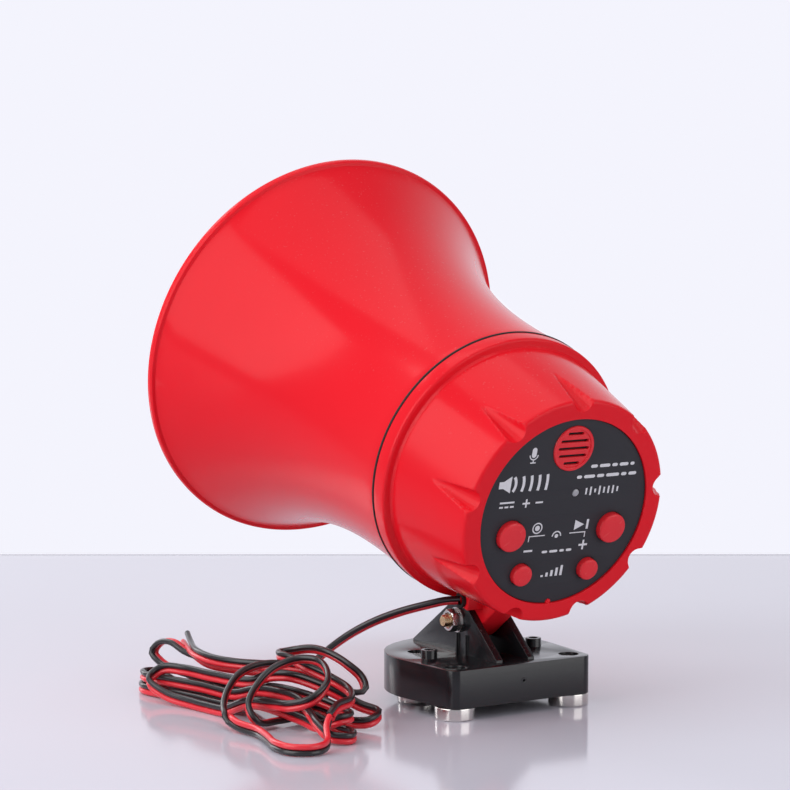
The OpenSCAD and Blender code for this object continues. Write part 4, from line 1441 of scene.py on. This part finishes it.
@dataclass
class Base:
    """The black base with its magnets, screws and hinge hardware."""

    hinge: Axes
    front_r: float = 36.0
    front_magnet: Point2 = (21.0, -9.0)
    magnet_r: float = 8.0
    magnet_h: float = 5.0
    nut_w: float = 8.0
    nut_turn: float = 18.0
    bolt_r: float = 2.5
    head_t: float = 3.5
    bolt_past_nut: float = 2.4
    ear_outer: float = 9.0
    washer_t: float = 1.0
    nut_t: float = 4.0
    thread_pitch: float = 0.8
    thread_depth: float = 0.34
    chamfer_in: float = 0.62
    chamfer_slope: float = 1.9
    edge_bevel: float = 0.35
    gate_height: float = 13.3

    @property
    def corner_r(self) -> float:
        """Radius of the nut's and the head's corners."""
        return self.nut_w / math.sqrt(3)

    def build(self) -> None:
        """Makes every visible piece of the base."""
        self.make_housing()
        self.make_magnets()
        self.make_nut()
        self.make_bolt()

    def make_housing(self) -> None:
        """Makes the base housing with softened moulded edges and its gate mark."""
        source = frame["nodes"]["base_housing"].data
        body = bmesh.new()
        body.from_mesh(source)
        bmesh.ops.remove_doubles(body, verts=body.verts, dist=0.002 * MM)
        flat, sharp = math.radians(0.6), math.radians(40)
        bmesh.ops.dissolve_limit(body, angle_limit=flat, verts=body.verts, edges=body.edges)
        corners = [edge for edge in body.edges if edge.is_manifold and edge.calc_face_angle(0.0) > sharp]
        bmesh.ops.bevel(body, geom=corners, offset=self.edge_bevel * MM, offset_type="OFFSET", segments=3,
                        profile=0.5, affect="EDGES", clamp_overlap=True)
        bmesh.ops.triangulate(body, faces=[face for face in body.faces if len(face.verts) > 4])
        mesh = bpy.data.meshes.new("base_shell")
        body.to_mesh(mesh)
        body.free()
        draft = MeshDraft()
        draft.add([v.co.copy() for v in mesh.vertices], [tuple(face.vertices) for face in mesh.polygons])
        bpy.data.meshes.remove(mesh)
        low, high = (Vector(corner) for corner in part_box("base_housing"))
        middle = Vector(((low.x + high.x) / 2, high.y, self.gate_height * MM))
        rear = Axes(middle, Vector((1, 0, 0)), WORLD_UP, Vector((0, 1, 0)))
        gate = rounded([(0.0, 0.0, 0), (0.5, 0.0, 0), (0.8, 0.12, 0.1), (1.2, 0.12, 0.1), (1.4, -0.1, 0),
                        (0.0, -0.1, 0)])
        draft.revolve(rear, gate, columns=32)
        place_piece(draft, "base_shell", [PALETTE.black_abs], "base", "black_abs", "base_housing",
                    crease=32.0, weld=0.0005)

    def make_magnets(self) -> None:
        """Makes the four nickel plated foot magnets."""
        base_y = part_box("base_housing")[0][1] / MM + self.front_r
        rear_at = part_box("foot_magnets")[1][0] / MM - self.magnet_r
        front_x, front_y = self.front_magnet
        r, h = self.magnet_r, self.magnet_h
        foot = rounded([(0.0, 0.0, 0), (r, 0.0, 0.7), (r, h, 0.5), (0.0, h, 0)])
        draft = MeshDraft()
        for x, y in ((rear_at, rear_at), (-rear_at, rear_at), (front_x, front_y), (-front_x, front_y)):
            draft.revolve(upright_axes(x * MM, (base_y + y) * MM, 0.0), foot)
        place_piece(draft, "magnet_feet", [PALETTE.nickel], "base", "nickel", "foot_magnets")

    def hex_shape(self, start: float, end: float) -> Shape:
        """Returns a shape that turns a round outline into a chamfered hexagon between two heights."""
        flat = hexagon(self.nut_w, math.radians(self.nut_turn))

        def shape(radius: float, height: float, angle: float) -> Point2:
            """Limits the radius to the hexagon and to the chamfer cones."""
            if radius < self.bolt_r + 1:
                return radius, height
            inset = min(height - start, end - height)
            cone = self.corner_r - self.chamfer_in + inset * self.chamfer_slope
            return min(flat(angle), cone, radius + 1), height

        return shape

    def make_nut(self) -> None:
        """Makes the hex nut with its chamfers and countersunk thread."""
        start = self.ear_outer + self.washer_t
        end = start + self.nut_t
        hole = self.bolt_r + 0.02
        sink_r, sink_depth = self.bolt_r + 0.7, 0.6
        flats = [(self.corner_r, start + self.nut_t * k / 24) for k in range(25)]
        outline = [(sink_r, start), *flats, (sink_r, end), (hole, end - sink_depth),
                   (hole, start + sink_depth)]
        draft = MeshDraft()
        draft.revolve(self.hinge, outline, columns=144, shape=self.hex_shape(start, end))
        place_piece(draft, "hex_nut", [PALETTE.zinc], "base", "zinc", "hinge_nut", crease=24.0)

    def threaded(self, radius: float, height: float, angle: float) -> Point2:
        """Cuts a screw thread into the bolt's far end."""
        if radius < self.bolt_r - 0.05 or height < self.ear_outer + self.washer_t + 0.5:
            return radius, height
        turn = (height / self.thread_pitch - angle / (2 * math.pi)) % 1.0
        return radius - self.thread_depth * abs(2 * turn - 1), height

    def make_bolt(self) -> None:
        """Makes the hinge bolt with its hex head and threaded end."""
        end = self.ear_outer + self.washer_t + self.nut_t + self.bolt_past_nut
        head_in = -self.ear_outer - self.washer_t
        head_out = head_in - self.head_t
        steps, tip, tip_r = 150, 0.5, self.bolt_r - 0.55
        shank = [(self.bolt_r, head_in + (end - tip - head_in) * k / steps) for k in range(steps + 1)]
        flats = [(self.corner_r, head_out + self.head_t * k / 16) for k in range(17)]
        draft = MeshDraft()
        draft.revolve(self.hinge, [(0.0, head_in), *shank, (tip_r, end), (0.0, end)], columns=48,
                      shape=self.threaded)
        draft.revolve(self.hinge, [(0.0, head_out), *flats, (0.0, head_in)], columns=144,
                      shape=self.hex_shape(head_out, head_in + 3))
        place_piece(draft, "threaded_bolt", [PALETTE.yellow_zinc], "base", "yellow_zinc", "hinge_bolt",
                    crease=24.0)


def main() -> None:
    """Builds the scene in order, and reports each piece."""
    logging.basicConfig(level=logging.INFO, format="%(name)s: %(message)s")
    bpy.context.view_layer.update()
    bpy.context.scene.view_settings.view_transform = "Standard"
    Studio().build()
    TwinLead().build()
    PALETTE.dress_frame()
    Horn(horn_axes()).build()
    ControlPanel(horn_axes()).build()
    Base(hinge_axes()).build()


if __name__ == "__main__":
    main()
